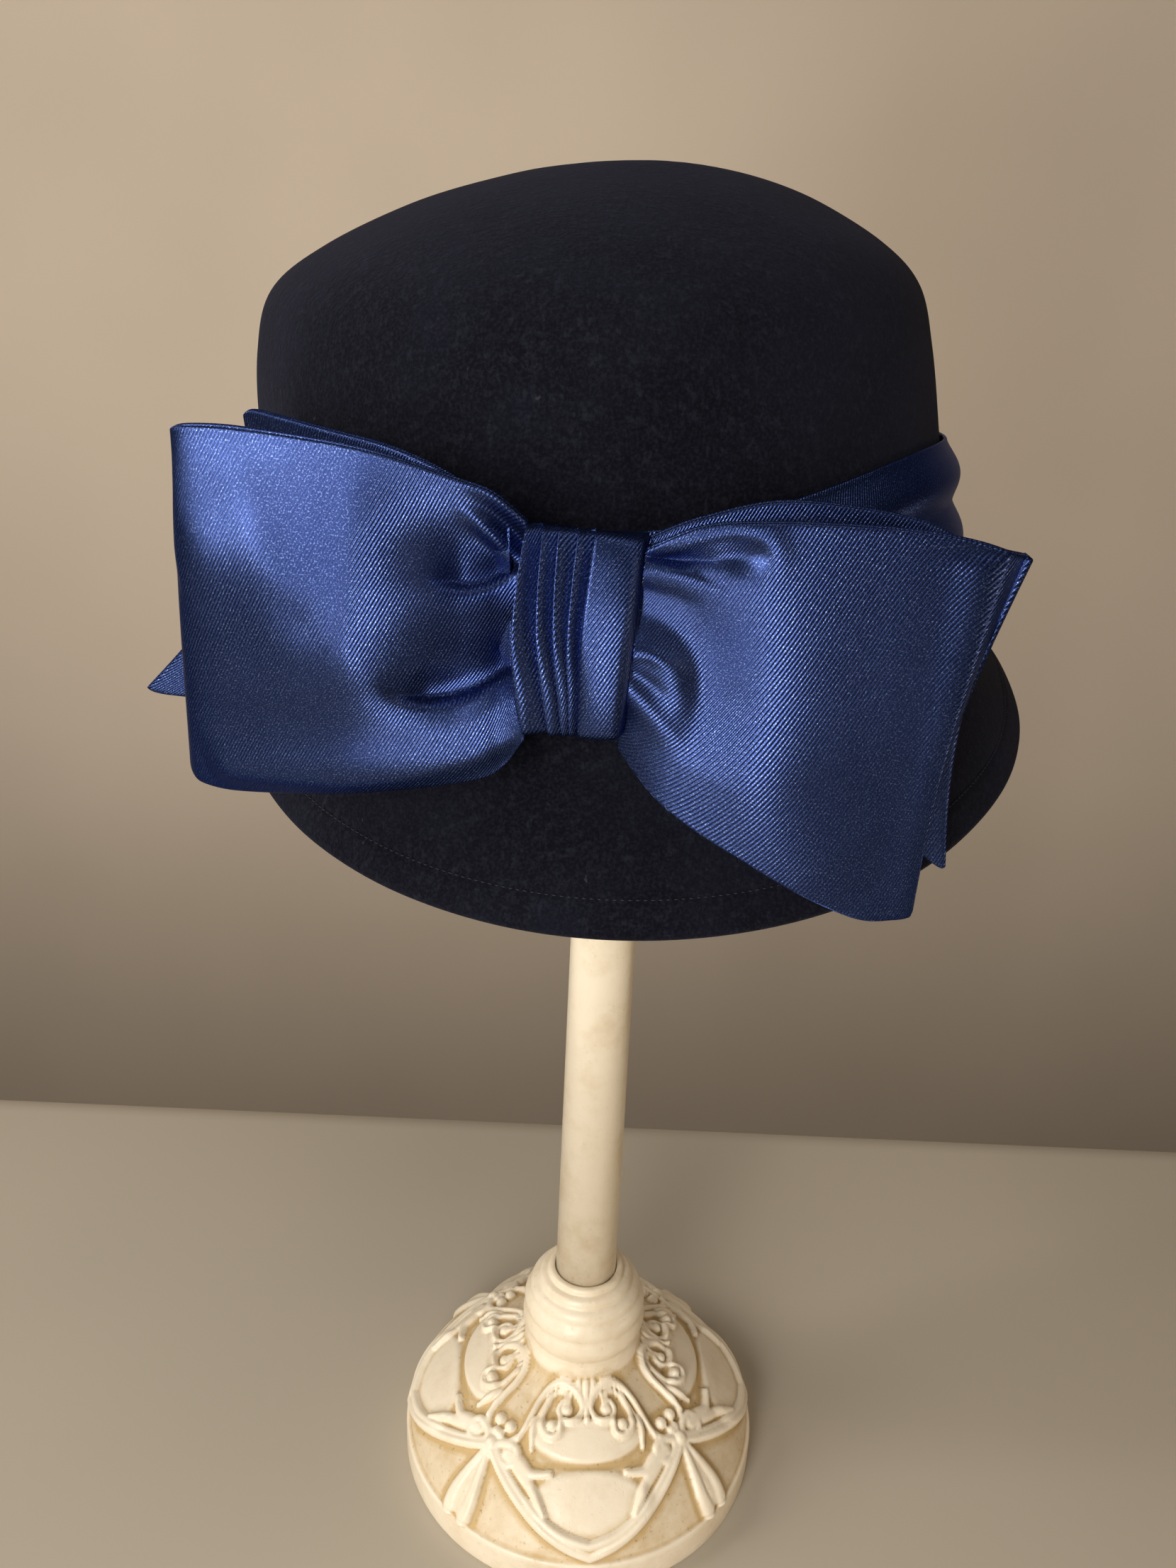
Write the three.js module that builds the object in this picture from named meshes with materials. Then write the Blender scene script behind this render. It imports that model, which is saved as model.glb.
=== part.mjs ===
// A wool-felt fedora with a draped satin band and a large satin bow, standing on a turned resin stand.
// Millimetres, +Z up. The origin is the centre of the stand's underside and the hat's front faces -Y.

import * as THREE from 'three';
import { mergeVertices } from 'three/addons/utils/BufferGeometryUtils.js';

// ---------- driving dimensions ----------

const GAP = 0.35; // clearance between pieces that touch on the real hat
const SEAT = 0.38; // upright clearance between the stand's cap and the felt that rests on it

// The hat sits on the stand tipped a little forward and to its own right.
const HAT = { x: 2, y: -1, z: 321, forward: 6, sideways: 2.6 };

// Felt hood: one wall from the brim's edge to the top of the crown.
const FELT = { wall: 1.8, hemWall: 3, hem: 0.16, around: 48 };
// Where the hood has its rings of points: out along the brim, and in rows of the crown's table.
const BRIM_RINGS = [1, 1 - FELT.hem, 0.55, 0.26];
const CROWN_RINGS = [0, 0.7, 1.5, 2.3, 3, 3.6, 4.2, 4.8, 5.5, 6.2, 7, 8, 9];

// Crown outside, one row for each height above the head opening.
const CROWN = [
  { height: 0, halfWidth: 84.5, halfLength: 98, shift: -3.5 },
  { height: 17, halfWidth: 84.5, halfLength: 98.5, shift: -6.5 },
  { height: 36, halfWidth: 83, halfLength: 96.5, shift: -8.8 },
  { height: 53, halfWidth: 80.5, halfLength: 92.5, shift: -9.8 },
  { height: 66, halfWidth: 76, halfLength: 88, shift: -9.5 },
  { height: 75, halfWidth: 65, halfLength: 77.5, shift: -7.5 },
  { height: 82.5, halfWidth: 48.5, halfLength: 61, shift: -5 },
  { height: 88, halfWidth: 31.5, halfLength: 42, shift: -2.5 },
  { height: 91.8, halfWidth: 16, halfLength: 21, shift: -1 },
  { height: 93.3, halfWidth: 0, halfLength: 0, shift: -1 },
];

// The crease along the top of the crown.
const CREASE = { x: 3, depth: 9, halfWidth: 15, front: -24, back: 62, fade: 38 };

// Brim edge: an oval that dips at the front. Its drop below the head opening goes with the cosine of the
// angle from the front.
const BRIM = { halfWidth: 102.5, halfLength: 118.5, x: -0.5, y: -2.3, drop: 31.4, dip: 9, dipEnds: 2.6 };
const BRIM_FLARE = 1.15; // above 1 the brim leaves the crown steeply and spreads towards its edge

// Satin band round the foot of the crown, with soft draped folds that run round it. Its upper edge rises
// on each side of the bow, and it lies flatter behind the bow.
const BAND = { clear: 0.5, wall: 1.4, low: 2, high: 29.5, rise: 6.5, riseEnds: 1.75 };
const BAND_FOLDS = { count: 3, depth: 1.8, flatTo: 0.15, fullFrom: 0.5, behindBow: 0.3 };
const BAND_GRID = { rows: 8, around: 56 };

// Satin loops of the bow. Each row is one section across a loop, from the knot to the loop's outer end:
// where its upper and lower edges lie, how far its middle draws in towards the knot, and how far behind the
// front layer the back layer runs.
const LOOP = { wall: 1.2, bulge: 2.2, backBulge: 0.4, fullFrom: 0.5, turn: 6, crossings: 7 };
const LOOP_TRIPS = [0, 0.2, 0.4, 0.6, 0.78, 0.9, 0.97, 1, 1.03, 1.1, 1.22, 1.4, 1.6, 1.8, 2];
const LOOPS = {
  bow_loop_left: [
    { topX: -23.2, topY: -115.5, topZ: 32, lowX: -23.9, lowY: -115, lowZ: -5, pinch: 0, depth: 2 },
    { topX: -31, topY: -113.7, topZ: 38, lowX: -31, lowY: -112.7, lowZ: -13.5, pinch: 0, depth: 3 },
    { topX: -46.5, topY: -109, topZ: 43.5, lowX: -56, lowY: -107, lowZ: -19, pinch: 0, depth: 5 },
    { topX: -71, topY: -100.5, topZ: 47.5, lowX: -81.5, lowY: -98, lowZ: -24.5, pinch: 0, depth: 8 },
    { topX: -82.5, topY: -97, topZ: 47.8, lowX: -92, lowY: -93, lowZ: -24.5, pinch: 1, depth: 0 },
  ],
  bow_loop_right: [
    { topX: 1, topY: -115.5, topZ: 31, lowX: -2.8, lowY: -115, lowZ: -7, pinch: 0, depth: 2 },
    { topX: 10, topY: -115, topZ: 35, lowX: 5, lowY: -115.5, lowZ: -18, pinch: 0, depth: 3 },
    { topX: 23.7, topY: -114, topZ: 35.3, lowX: 21.5, lowY: -116, lowZ: -29, pinch: 0, depth: 3.5 },
    { topX: 44, topY: -113, topZ: 34.3, lowX: 40, lowY: -116.5, lowZ: -40, pinch: 1, depth: 4.5 },
    { topX: 57, topY: -113, topZ: 32, lowX: 49.5, lowY: -116, lowZ: -43, pinch: 2.5, depth: 5 },
    { topX: 66.5, topY: -113, topZ: 28.4, lowX: 54.5, lowY: -115.5, lowZ: -43, pinch: 4, depth: 0 },
  ],
  bow_rear_left: [
    { topX: -23.1, topY: -110, topZ: 34, lowX: -23.9, lowY: -110, lowZ: 2, pinch: 0, depth: 1.8 },
    { topX: -32, topY: -106, topZ: 38.5, lowX: -36, lowY: -104.5, lowZ: -5, pinch: 0, depth: 2.6 },
    { topX: -44, topY: -98.5, topZ: 42, lowX: -55, lowY: -95.5, lowZ: -8, pinch: 0, depth: 3 },
    { topX: -58, topY: -88.5, topZ: 44.5, lowX: -80, lowY: -83, lowZ: -10.5, pinch: 4, depth: 5 },
    { topX: -76, topY: -79, topZ: 48, lowX: -107, lowY: -73, lowZ: -12, pinch: 11, depth: 0 },
  ],
  bow_rear_right: [
    { topX: 1.2, topY: -110, topZ: 31, lowX: -0.6, lowY: -110, lowZ: 1, pinch: 0, depth: 1.8 },
    { topX: 10, topY: -107.7, topZ: 34, lowX: 9, lowY: -107.7, lowZ: -8, pinch: 0, depth: 2.2 },
    { topX: 25.3, topY: -105.2, topZ: 36.2, lowX: 24, lowY: -106, lowZ: -13, pinch: 0, depth: 2.4 },
    { topX: 45, topY: -103.5, topZ: 33.5, lowX: 43, lowY: -104, lowZ: -20, pinch: 0, depth: 3.5 },
    { topX: 56, topY: -103, topZ: 29.5, lowX: 53.5, lowY: -103.5, lowZ: -31, pinch: 1.5, depth: 4.5 },
    { topX: 65.5, topY: -103, topZ: 22, lowX: 62.5, lowY: -103.5, lowZ: -38.5, pinch: 3, depth: 0 },
  ],
};

// Pleated knot: one row for each height, with the ends of its front face.
const KNOT = [
  { height: -2, left: -21.4, right: -3.2 },
  { height: 6, left: -22.6, right: -2.4 },
  { height: 16, left: -22.9, right: -1.4 },
  { height: 25, left: -21.8, right: -0.2 },
  { height: 32.5, left: -20.7, right: 0.8 },
];
const KNOT_FRONT = -118.6;
// Folded edges of the knot's pleats, as fractions of its width at the lower and the upper end.
const PLEATS = [
  { low: 0, high: 0 },
  { low: 0.265, high: 0.133 },
  { low: 0.402, high: 0.259 },
  { low: 0.47, high: 0.42 },
  { low: 0.538, high: 0.559 },
];
// How far back each pleat's face runs before the next fold starts, and the last one before the side.
const PLEAT_STEP = 0.9;
const SIDE_STEP = 1.6;
const PLEAT_FOLD = 0.012;

// Resin stand: domed base, stacked collar, post and cap.
const BASE = { radius: 62, foot: 9, rise: 37, neck: 22.5, fullness: 1.5, sides: 40 };
const COLLAR = [
  { inner: 20, outer: 22, low: 41.5, high: 49.5 },
  { inner: 18.8, outer: 21.3, low: 49.8, high: 57.5 },
  { inner: 14.8, outer: 19.9, low: 57.8, high: 68.8 },
];
const POST = { footRadius: 10.3, topRadius: 9.3, tenonRadius: 7, tenon: 10, foot: 70, inCap: 12 };
const POST_RING = { radius: 11.5, high: 1.6, blend: 3 };
const CAP = { radius: 34, rim: 7, rise: 15, roundOver: 2.5, lip: 8 };

// ---------- small helpers ----------

const DEG = Math.PI / 180;

function smooth(low, high, x) {
  const t = Math.min(Math.max((x - low) / (high - low), 0), 1);
  return t * t * (3 - 2 * t);
}

// Smooth curve through one column of a table, at a place counted in rows.
function along(rows, column, place) {
  const last = rows.length - 1;
  const i = Math.min(Math.floor(place), last - 1);
  const t = place - i;
  const at = (k) => rows[Math.min(Math.max(k, 0), last)][column];
  const [a, b, c, d] = [at(i - 1), at(i), at(i + 1), at(i + 2)];
  const turn = 2 * a - 5 * b + 4 * c - d;
  const twist = 3 * b - a - 3 * c + d;
  return 0.5 * (2 * b + (c - a) * t + turn * t * t + twist * t * t * t);
}

// A grid of points: grid[row][column], from a function of two whole numbers.
function makeGrid(rows, columns, point) {
  return Array.from({ length: rows }, (_, i) => Array.from({ length: columns }, (_, j) => point(i, j)));
}

// Unit normals of a grid, from its neighbouring points. wrap joins the last column to the first.
function gridNormals(grid, wrap) {
  const rows = grid.length;
  const columns = grid[0].length;
  const column = (j) => (wrap ? (j + columns) % columns : Math.min(Math.max(j, 0), columns - 1));
  const normals = makeGrid(rows, columns, (i, j) => {
    const up = grid[Math.min(i + 1, rows - 1)][j].clone().sub(grid[Math.max(i - 1, 0)][j]);
    const side = grid[i][column(j + 1)].clone().sub(grid[i][column(j - 1)]);
    return side.cross(up);
  });
  return normals.map((row, i) => {
    const flat = row.every((n) => n.length() < 1e-6);
    return flat ? normals[i - 1].map((n) => n.clone().normalize()) : row.map((n) => n.clone().normalize());
  });
}

// One closed body from lists of points and faces: doubled points are merged and faces point outwards.
function closedGeometry(points, faces) {
  const positions = new Float32Array(points.flatMap((p) => [p.x, p.y, p.z]));
  const loose = new THREE.BufferGeometry();
  loose.setAttribute('position', new THREE.BufferAttribute(positions, 3));
  loose.setIndex(faces.flat());
  const merged = mergeVertices(loose, 1e-3);
  const index = Array.from(merged.index.array);
  const at = (k) => new THREE.Vector3().fromBufferAttribute(merged.attributes.position, k);
  let kept = [];
  let volume = 0;
  for (let k = 0; k < index.length; k += 3) {
    const [a, b, c] = index.slice(k, k + 3);
    if (a !== b && b !== c && c !== a) {
      kept.push([a, b, c]);
      volume += at(a).dot(at(b).cross(at(c)));
    }
  }
  if (volume < 0) {
    kept = kept.map(([a, b, c]) => [a, c, b]);
  }
  merged.setIndex(kept.flat());
  merged.computeVertexNormals();
  return merged;
}

// The wall between two grids of the same size. wrap joins the last column to the first, and the open
// edges of the wall are closed.
function wallGeometry(outer, inner, wrap) {
  const rows = outer.length;
  const columns = outer[0].length;
  const points = [...outer.flat(), ...inner.flat()];
  const out = (i, j) => i * columns + (j % columns);
  const into = (i, j) => rows * columns + out(i, j);
  const faces = [];
  const quad = (a, b, c, d) => faces.push([a, b, c], [a, c, d]);
  const lastColumn = wrap ? columns : columns - 1;
  for (let i = 0; i < rows - 1; i += 1) {
    for (let j = 0; j < lastColumn; j += 1) {
      quad(out(i, j), out(i, j + 1), out(i + 1, j + 1), out(i + 1, j));
      quad(into(i, j), into(i + 1, j), into(i + 1, j + 1), into(i, j + 1));
    }
  }
  for (let j = 0; j < lastColumn; j += 1) {
    quad(out(0, j), into(0, j), into(0, j + 1), out(0, j + 1));
    quad(out(rows - 1, j), out(rows - 1, j + 1), into(rows - 1, j + 1), into(rows - 1, j));
  }
  for (let i = 0; !wrap && i < rows - 1; i += 1) {
    quad(out(i, 0), out(i + 1, 0), into(i + 1, 0), into(i, 0));
    quad(out(i, columns - 1), into(i, columns - 1), into(i + 1, columns - 1), out(i + 1, columns - 1));
  }
  return closedGeometry(points, faces);
}

// A body lofted through closed rings of points, with flat ends.
function loftGeometry(rings) {
  const size = rings[0].length;
  const faces = [];
  for (let i = 0; i < rings.length - 1; i += 1) {
    for (let j = 0; j < size; j += 1) {
      const [a, b] = [i * size + j, i * size + ((j + 1) % size)];
      faces.push([a, b, b + size], [a, b + size, a + size]);
    }
  }
  const end = (ring) => THREE.ShapeUtils.triangulateShape(ring.map((p) => new THREE.Vector2(p.x, p.y)), []);
  const top = (rings.length - 1) * size;
  end(rings[0]).forEach(([a, b, c]) => faces.push([a, c, b]));
  end(rings[rings.length - 1]).forEach(([a, b, c]) => faces.push([top + a, top + b, top + c]));
  return closedGeometry(rings.flat(), faces);
}

// A turned body from its radius and height points.
function turned(profile, sides) {
  const lathe = new THREE.LatheGeometry(profile.map(([r, z]) => new THREE.Vector2(r, z)), sides);
  lathe.rotateX(Math.PI / 2);
  const place = lathe.attributes.position;
  const pointAt = (_, k) => new THREE.Vector3().fromBufferAttribute(place, k);
  const points = Array.from({ length: place.count }, pointAt);
  const index = Array.from(lathe.index.array);
  const faces = Array.from({ length: index.length / 3 }, (_, k) => index.slice(3 * k, 3 * k + 3));
  return closedGeometry(points, faces);
}

// ---------- felt hood ----------

// Crown surface: angle from the front, and a place counted in rows of CROWN.
function crownPoint(angle, place) {
  const halfWidth = Math.max(along(CROWN, 'halfWidth', place), 0);
  const halfLength = Math.max(along(CROWN, 'halfLength', place), 0);
  const x = along(CROWN, 'shift', place) + halfWidth * Math.sin(angle);
  const y = -halfLength * Math.cos(angle);
  const across = Math.exp(-(((x - CREASE.x) / CREASE.halfWidth) ** 2));
  const { front, back, fade } = CREASE;
  const lengthways = smooth(front, front + fade, y) * (1 - smooth(back - fade, back, y));
  return new THREE.Vector3(x, y, along(CROWN, 'height', place) - CREASE.depth * across * lengthways);
}

// Brim surface: angle from the front, and 0 at the head opening to 1 at the edge.
function brimPoint(angle, out) {
  const foot = crownPoint(angle, 0);
  const front = Math.cos(angle);
  const drop = BRIM.drop + BRIM.dip * front + BRIM.dipEnds * front * front;
  const edge = new THREE.Vector3(
    BRIM.x + BRIM.halfWidth * Math.sin(angle),
    BRIM.y - BRIM.halfLength * front,
    -drop,
  );
  const spread = out ** BRIM_FLARE;
  return new THREE.Vector3(
    foot.x + (edge.x - foot.x) * spread,
    foot.y + (edge.y - foot.y) * spread,
    edge.z * out,
  );
}

// The two faces of the felt, as one grid each: outer[ring][column] and inner[ring][column].
function feltFaces() {
  const rings = [...BRIM_RINGS, ...CROWN_RINGS];
  const rows = rings.length;
  const outer = makeGrid(rows, FELT.around, (i, j) => {
    const angle = (2 * Math.PI * j) / FELT.around;
    return i < BRIM_RINGS.length ? brimPoint(angle, rings[i]) : crownPoint(angle, rings[i]);
  });
  const normals = gridNormals(outer, true);
  const inner = makeGrid(rows, FELT.around, (i, j) => {
    const wall = i < 2 ? FELT.hemWall : FELT.wall;
    return outer[i][j].clone().addScaledVector(normals[i][j], -wall);
  });
  return { outer, inner };
}

function feltHood() {
  const { outer, inner } = feltFaces();
  return wallGeometry(outer, inner, true);
}

// ---------- satin ----------

// Point of the felt at one angle and one height above the head opening, on the straight part of the crown.
function crownAtHeight(angle, height) {
  const rowHeight = CROWN[1].height - CROWN[0].height;
  let place = 0;
  for (let step = 0; step < 12; step += 1) {
    place = Math.max(place + (height - along(CROWN, 'height', place)) / rowHeight, 0);
  }
  return crownPoint(angle, place);
}

// The two faces of the band, as one grid each: outer[row][column] and inner[row][column].
function bandFaces() {
  const { count, depth, flatTo, fullFrom, behindBow } = BAND_FOLDS;
  const face = (clear) => makeGrid(BAND_GRID.rows, BAND_GRID.around, (i, j) => {
    const angle = (2 * Math.PI * j) / BAND_GRID.around;
    const fromFront = Math.min(angle, 2 * Math.PI - angle);
    const up = i / (BAND_GRID.rows - 1);
    const side = Math.sin((Math.PI * Math.min(fromFront, BAND.riseEnds)) / BAND.riseEnds);
    const high = BAND.high + BAND.rise * side * side;
    const foot = crownAtHeight(angle, BAND.low + (high - BAND.low) * up);
    const outward = new THREE.Vector3(Math.sin(angle), -Math.cos(angle), 0);
    return foot.addScaledVector(outward, clear(up, fromFront));
  });
  const inner = face(() => BAND.clear);
  const outer = face((up, fromFront) => {
    const draped = behindBow + (1 - behindBow) * smooth(flatTo, fullFrom, fromFront);
    const fold = 0.5 - 0.5 * Math.cos(2 * Math.PI * count * up);
    return BAND.clear + BAND.wall + depth * fold * draped;
  });
  return { outer, inner };
}

function satinBand() {
  const { outer, inner } = bandFaces();
  return wallGeometry(outer, inner, true);
}

// Bow loop: the cloth runs from the knot to the outer end, turns there and comes back behind itself.
// trip goes 0 to 1 to 2 along it, and across goes 0 at the lower edge to 1 at the upper edge.
function loopPoint(rows, trip, across) {
  const last = rows.length - 1;
  const place = last * (trip < 1 ? trip : 2 - trip);
  const value = (column) => along(rows, column, place);
  const mix = (low, top) => value(low) + (value(top) - value(low)) * across;
  const turn = Math.sqrt(Math.max(1 - (place / last) ** LOOP.turn, 0));
  const depth = along(rows.slice(0, last), 'depth', Math.min(place, last - 1)) * turn;
  const behind = trip < 1 ? 0 : depth;
  const bulge = LOOP.bulge * Math.sin(Math.PI * across) * smooth(0, LOOP.fullFrom, place / last) * turn;
  const drawn = value('pinch') * Math.sin(Math.PI * across) * Math.sign(rows[last].topX);
  return new THREE.Vector3(
    mix('lowX', 'topX') - drawn,
    mix('lowY', 'topY') + behind + (trip < 1 ? -bulge : LOOP.backBulge * bulge),
    mix('lowZ', 'topZ'),
  );
}

function bowLoop(rows) {
  const lengths = LOOP_TRIPS.length;
  const last = LOOP.crossings - 1;
  const middle = makeGrid(lengths, LOOP.crossings, (i, j) => loopPoint(rows, LOOP_TRIPS[i], j / last));
  const normals = gridNormals(middle, false);
  const side = (offset) => makeGrid(lengths, LOOP.crossings, (i, j) => (
    middle[i][j].clone().addScaledVector(normals[i][j], offset)
  ));
  return wallGeometry(side(LOOP.wall / 2), side(-LOOP.wall / 2), false);
}

// Section across the knot, going round it from the back of its left side. The back lies on the band.
function knotSection(row, back) {
  const up = (row.height - KNOT[0].height) / (KNOT[KNOT.length - 1].height - KNOT[0].height);
  const width = row.right - row.left;
  const point = (across, y) => new THREE.Vector3(row.left + width * across, y, row.height);
  const edges = PLEATS.map(({ low, high }) => low + (high - low) * up);
  const front = edges.flatMap((edge, i) => {
    const next = i + 1 < edges.length ? edges[i + 1] : 1;
    const sink = i + 1 < edges.length ? PLEAT_STEP : SIDE_STEP;
    return [point(edge + PLEAT_FOLD, KNOT_FRONT), point(next - PLEAT_FOLD / 3, KNOT_FRONT + sink)];
  });
  return [point(0, back), point(0, KNOT_FRONT + SIDE_STEP), ...front, point(1, back)];
}

function bowKnot() {
  const [low, high] = [KNOT[0].height, KNOT[KNOT.length - 1].height];
  const behind = bandFaces().outer.flat().filter((p) => p.z > low && p.z < high);
  const back = Math.min(...behind.map((p) => p.y)) - GAP;
  return loftGeometry(KNOT.map((row) => knotSection(row, back)));
}

// ---------- stand ----------

// Base's side from the foot band up to the neck: a quarter of an oval, a little leaner than an ellipse.
function domeProfile(steps) {
  const power = 2 / BASE.fullness;
  const end = Math.acos((BASE.neck / BASE.radius) ** (1 / power));
  return Array.from({ length: steps + 1 }, (_, k) => {
    const t = (end * k) / steps;
    return [BASE.radius * Math.cos(t) ** power, BASE.foot + BASE.rise * Math.sin(t) ** power];
  });
}

// Half-round ring of the collar, from its lower to its upper edge.
function ringProfile({ inner, outer, low, high }, steps) {
  return Array.from({ length: steps + 1 }, (_, k) => {
    const t = Math.PI * (k / steps - 0.5);
    return [inner + (outer - inner) * Math.cos(t), (low + high) / 2 + ((high - low) / 2) * Math.sin(t)];
  });
}

// Foot, dome and stacked collar of the base, with the socket for the post in its top.
function standBase() {
  const socket = POST.tenonRadius + GAP;
  const floor = POST.foot - POST.tenon - GAP;
  const top = POST.foot - GAP;
  return turned([
    [0, 0], [BASE.radius, 0], ...domeProfile(8), ...COLLAR.flatMap((ring) => ringProfile(ring, 6)),
    [POST_RING.radius + 1, top], [socket, top], [socket, floor], [0, floor],
  ], BASE.sides);
}

function standPost(top) {
  const { footRadius, topRadius, tenonRadius, tenon, foot } = POST;
  const { radius, high, blend } = POST_RING;
  return turned([
    [0, foot - tenon], [tenonRadius, foot - tenon], [tenonRadius, foot], [radius, foot],
    [radius, foot + high], [footRadius, foot + blend], [topRadius, top], [0, top],
  ], 24);
}

// Plain domed cap, with a socket for the post from below. Its dome rises from the rim to the middle.
function capHeight(radius) {
  return CAP.rise * Math.sqrt(Math.max(1 - (radius / CAP.radius) ** 2, 0));
}

function standCap(rimZ) {
  const radii = [1, 0.96, 0.86, 0.7, 0.5, 0.25, 0].map((f) => CAP.radius * f);
  const dome = radii.map((radius) => [radius, rimZ + capHeight(radius)]);
  const socket = POST.topRadius + SEAT;
  const under = rimZ - CAP.rim;
  return turned([
    [0, under + POST.inCap + GAP], [socket, under + POST.inCap + GAP], [socket, under],
    [CAP.radius - CAP.lip, under], [CAP.radius - CAP.lip / 4, under + CAP.roundOver], ...dome,
  ], 32);
}

// Height of the cap's rim at which its dome stops just short of the felt above it.
function rimHeight(hatMatrix) {
  const felt = feltFaces().inner.flat().map((p) => p.applyMatrix4(hatMatrix));
  const above = felt.filter((p) => Math.hypot(p.x, p.y) < CAP.radius);
  return Math.min(...above.map((p) => p.z - capHeight(Math.hypot(p.x, p.y)))) - SEAT;
}

// ---------- materials and assembly ----------

function material(color, roughness) {
  return new THREE.MeshStandardMaterial({ color, roughness, metalness: 0 });
}

const felt = material('#14151f', 0.95);
const satin = material('#2f3f7a', 0.35);
const resin = material('#e9dcc0', 0.45);

function piece(name, geometry, finish) {
  const mesh = new THREE.Mesh(geometry, finish);
  mesh.name = name;
  return mesh;
}

const hat = new THREE.Group();
hat.position.set(HAT.x, HAT.y, HAT.z);
hat.rotation.set(HAT.forward * DEG, -HAT.sideways * DEG, 0, 'YXZ');
hat.add(piece('felt_hood', feltHood(), felt));
hat.add(piece('satin_band', satinBand(), satin));
hat.add(piece('bow_knot', bowKnot(), satin));
for (const [name, rows] of Object.entries(LOOPS)) {
  hat.add(piece(name, bowLoop(rows), satin));
}
hat.updateMatrixWorld(true);

const rim = rimHeight(hat.matrixWorld);
const stand = new THREE.Group();
stand.add(piece('stand_base', standBase(), resin));
stand.add(piece('stand_post', standPost(rim - CAP.rim + POST.inCap), resin));
stand.add(piece('stand_cap', standCap(rim), resin));

const model = new THREE.Group();
model.add(stand, hat);

export default model;
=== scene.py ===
# %% [markdown]
# # A wool-felt hat with a satin bow, on a resin stand
# The hat is one hood of wool felt, blocked over a wooden form. A satin band is draped round the foot of the
# crown and a large satin bow is sewn to its front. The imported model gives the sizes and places, and this
# lesson gives each piece its real surface and finish.

import bmesh
import bpy
import numpy as np
from mathutils import Matrix, Vector


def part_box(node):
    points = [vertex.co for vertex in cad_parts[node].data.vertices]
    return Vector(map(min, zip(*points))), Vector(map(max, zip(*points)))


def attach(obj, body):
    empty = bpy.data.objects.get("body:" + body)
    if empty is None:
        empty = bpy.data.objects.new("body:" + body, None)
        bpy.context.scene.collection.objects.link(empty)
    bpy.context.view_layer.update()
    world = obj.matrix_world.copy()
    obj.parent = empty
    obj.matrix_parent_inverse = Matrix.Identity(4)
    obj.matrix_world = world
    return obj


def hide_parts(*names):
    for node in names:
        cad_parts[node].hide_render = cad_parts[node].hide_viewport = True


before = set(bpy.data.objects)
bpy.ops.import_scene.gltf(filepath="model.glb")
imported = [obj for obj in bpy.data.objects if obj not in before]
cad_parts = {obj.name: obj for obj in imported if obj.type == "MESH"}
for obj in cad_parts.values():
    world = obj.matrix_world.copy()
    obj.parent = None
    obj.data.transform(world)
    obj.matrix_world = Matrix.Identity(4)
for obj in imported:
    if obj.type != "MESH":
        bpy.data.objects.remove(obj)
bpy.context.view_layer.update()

# %% [markdown]
# ## The hat's own frame
# A hat is drawn in its own frame: the origin in the middle of the head opening, z up through the crown and -y
# towards the front, in millimetres. On the stand it sits tipped forward and a little to one side, so one turn
# and one shift carry every piece of it into the row's frame.

# %% Place of the hat, from the felt's box
MM = 0.001
TIP_FORWARD, TIP_SIDEWAYS = np.radians(6), np.radians(2.6)
CROWN_ABOVE_OPENING = 89.7  # the highest point of the tipped crown above the head opening's centre
OPENING_FROM_BOX_MIDDLE = np.array([-0.9, -1.3])


def box_mm(node):
    """Lowest and highest corner of a CAD node, in millimetres."""
    return np.array(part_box(node)) / MM


hood_low, hood_high = box_mm("felt_hood")
opening_x, opening_y = (hood_low + hood_high)[:2] / 2 + OPENING_FROM_BOX_MIDDLE
opening = np.array([opening_x, opening_y, hood_high[2] - CROWN_ABOVE_OPENING])


def turn_about_x(angle):
    c, s = np.cos(angle), np.sin(angle)
    return np.array([[1, 0, 0], [0, c, -s], [0, s, c]])


def turn_about_y(angle):
    c, s = np.cos(angle), np.sin(angle)
    return np.array([[c, 0, s], [0, 1, 0], [-s, 0, c]])


HAT_TURN = turn_about_y(-TIP_SIDEWAYS) @ turn_about_x(TIP_FORWARD)


def on_stand(points):
    """Points of the hat's frame in the row's frame: turned, then moved to the head opening."""
    return (points.reshape(-1, 3) @ HAT_TURN.T + opening).reshape(points.shape)


print("head opening's centre, mm:", opening.round(2))

# %% [markdown]
# ## Surfaces as arrays
# Every new piece is a grid of points worked out with numpy. A few short helpers do what all of them need.

# %% Tables, curves and soft steps
def table(columns, rows):
    """Rows of numbers as a list of dicts, with a name for each column."""
    return [dict(zip(columns.split(), row)) for row in rows]


def through(values, place):
    """Catmull-Rom curve through the values, at places counted in steps of the list."""
    values = np.asarray(values, float)
    last = len(values) - 1
    i = np.clip(np.floor(place).astype(int), 0, last - 1)
    t = place - i
    a, b, c, d = (values[np.clip(i + k, 0, last)] for k in (-1, 0, 1, 2))
    return 0.5 * (2 * b + (c - a) * t + (2 * a - 5 * b + 4 * c - d) * t**2 + (3 * b - a - 3 * c + d) * t**3)


def column(rows, name, place):
    """Catmull-Rom curve through one named column of a table."""
    return through([row[name] for row in rows], place)


def curve(points, place):
    """Catmull-Rom curve through points of two coordinates, one array for each."""
    return [through([point[k] for point in points], place) for k in (0, 1)]


def together(*coordinates):
    """Arrays of coordinates, stretched to one shape, as an array of points."""
    return np.stack(np.broadcast_arrays(*coordinates), axis=-1)


def soft_step(low, high, x):
    """0 below low, 1 above high, and the cubic 3t^2 - 2t^3 between them."""
    t = np.clip((x - low) / (high - low), 0, 1)
    return t * t * (3 - 2 * t)


def blend(start, end, share):
    """From start to end in a straight line: start + (end - start) * share."""
    return start + (end - start) * share


def bell(distance, width):
    """A bell that is 1 at distance 0: exp(-(distance / width)^2)."""
    return np.exp(-((distance / width) ** 2))


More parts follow.
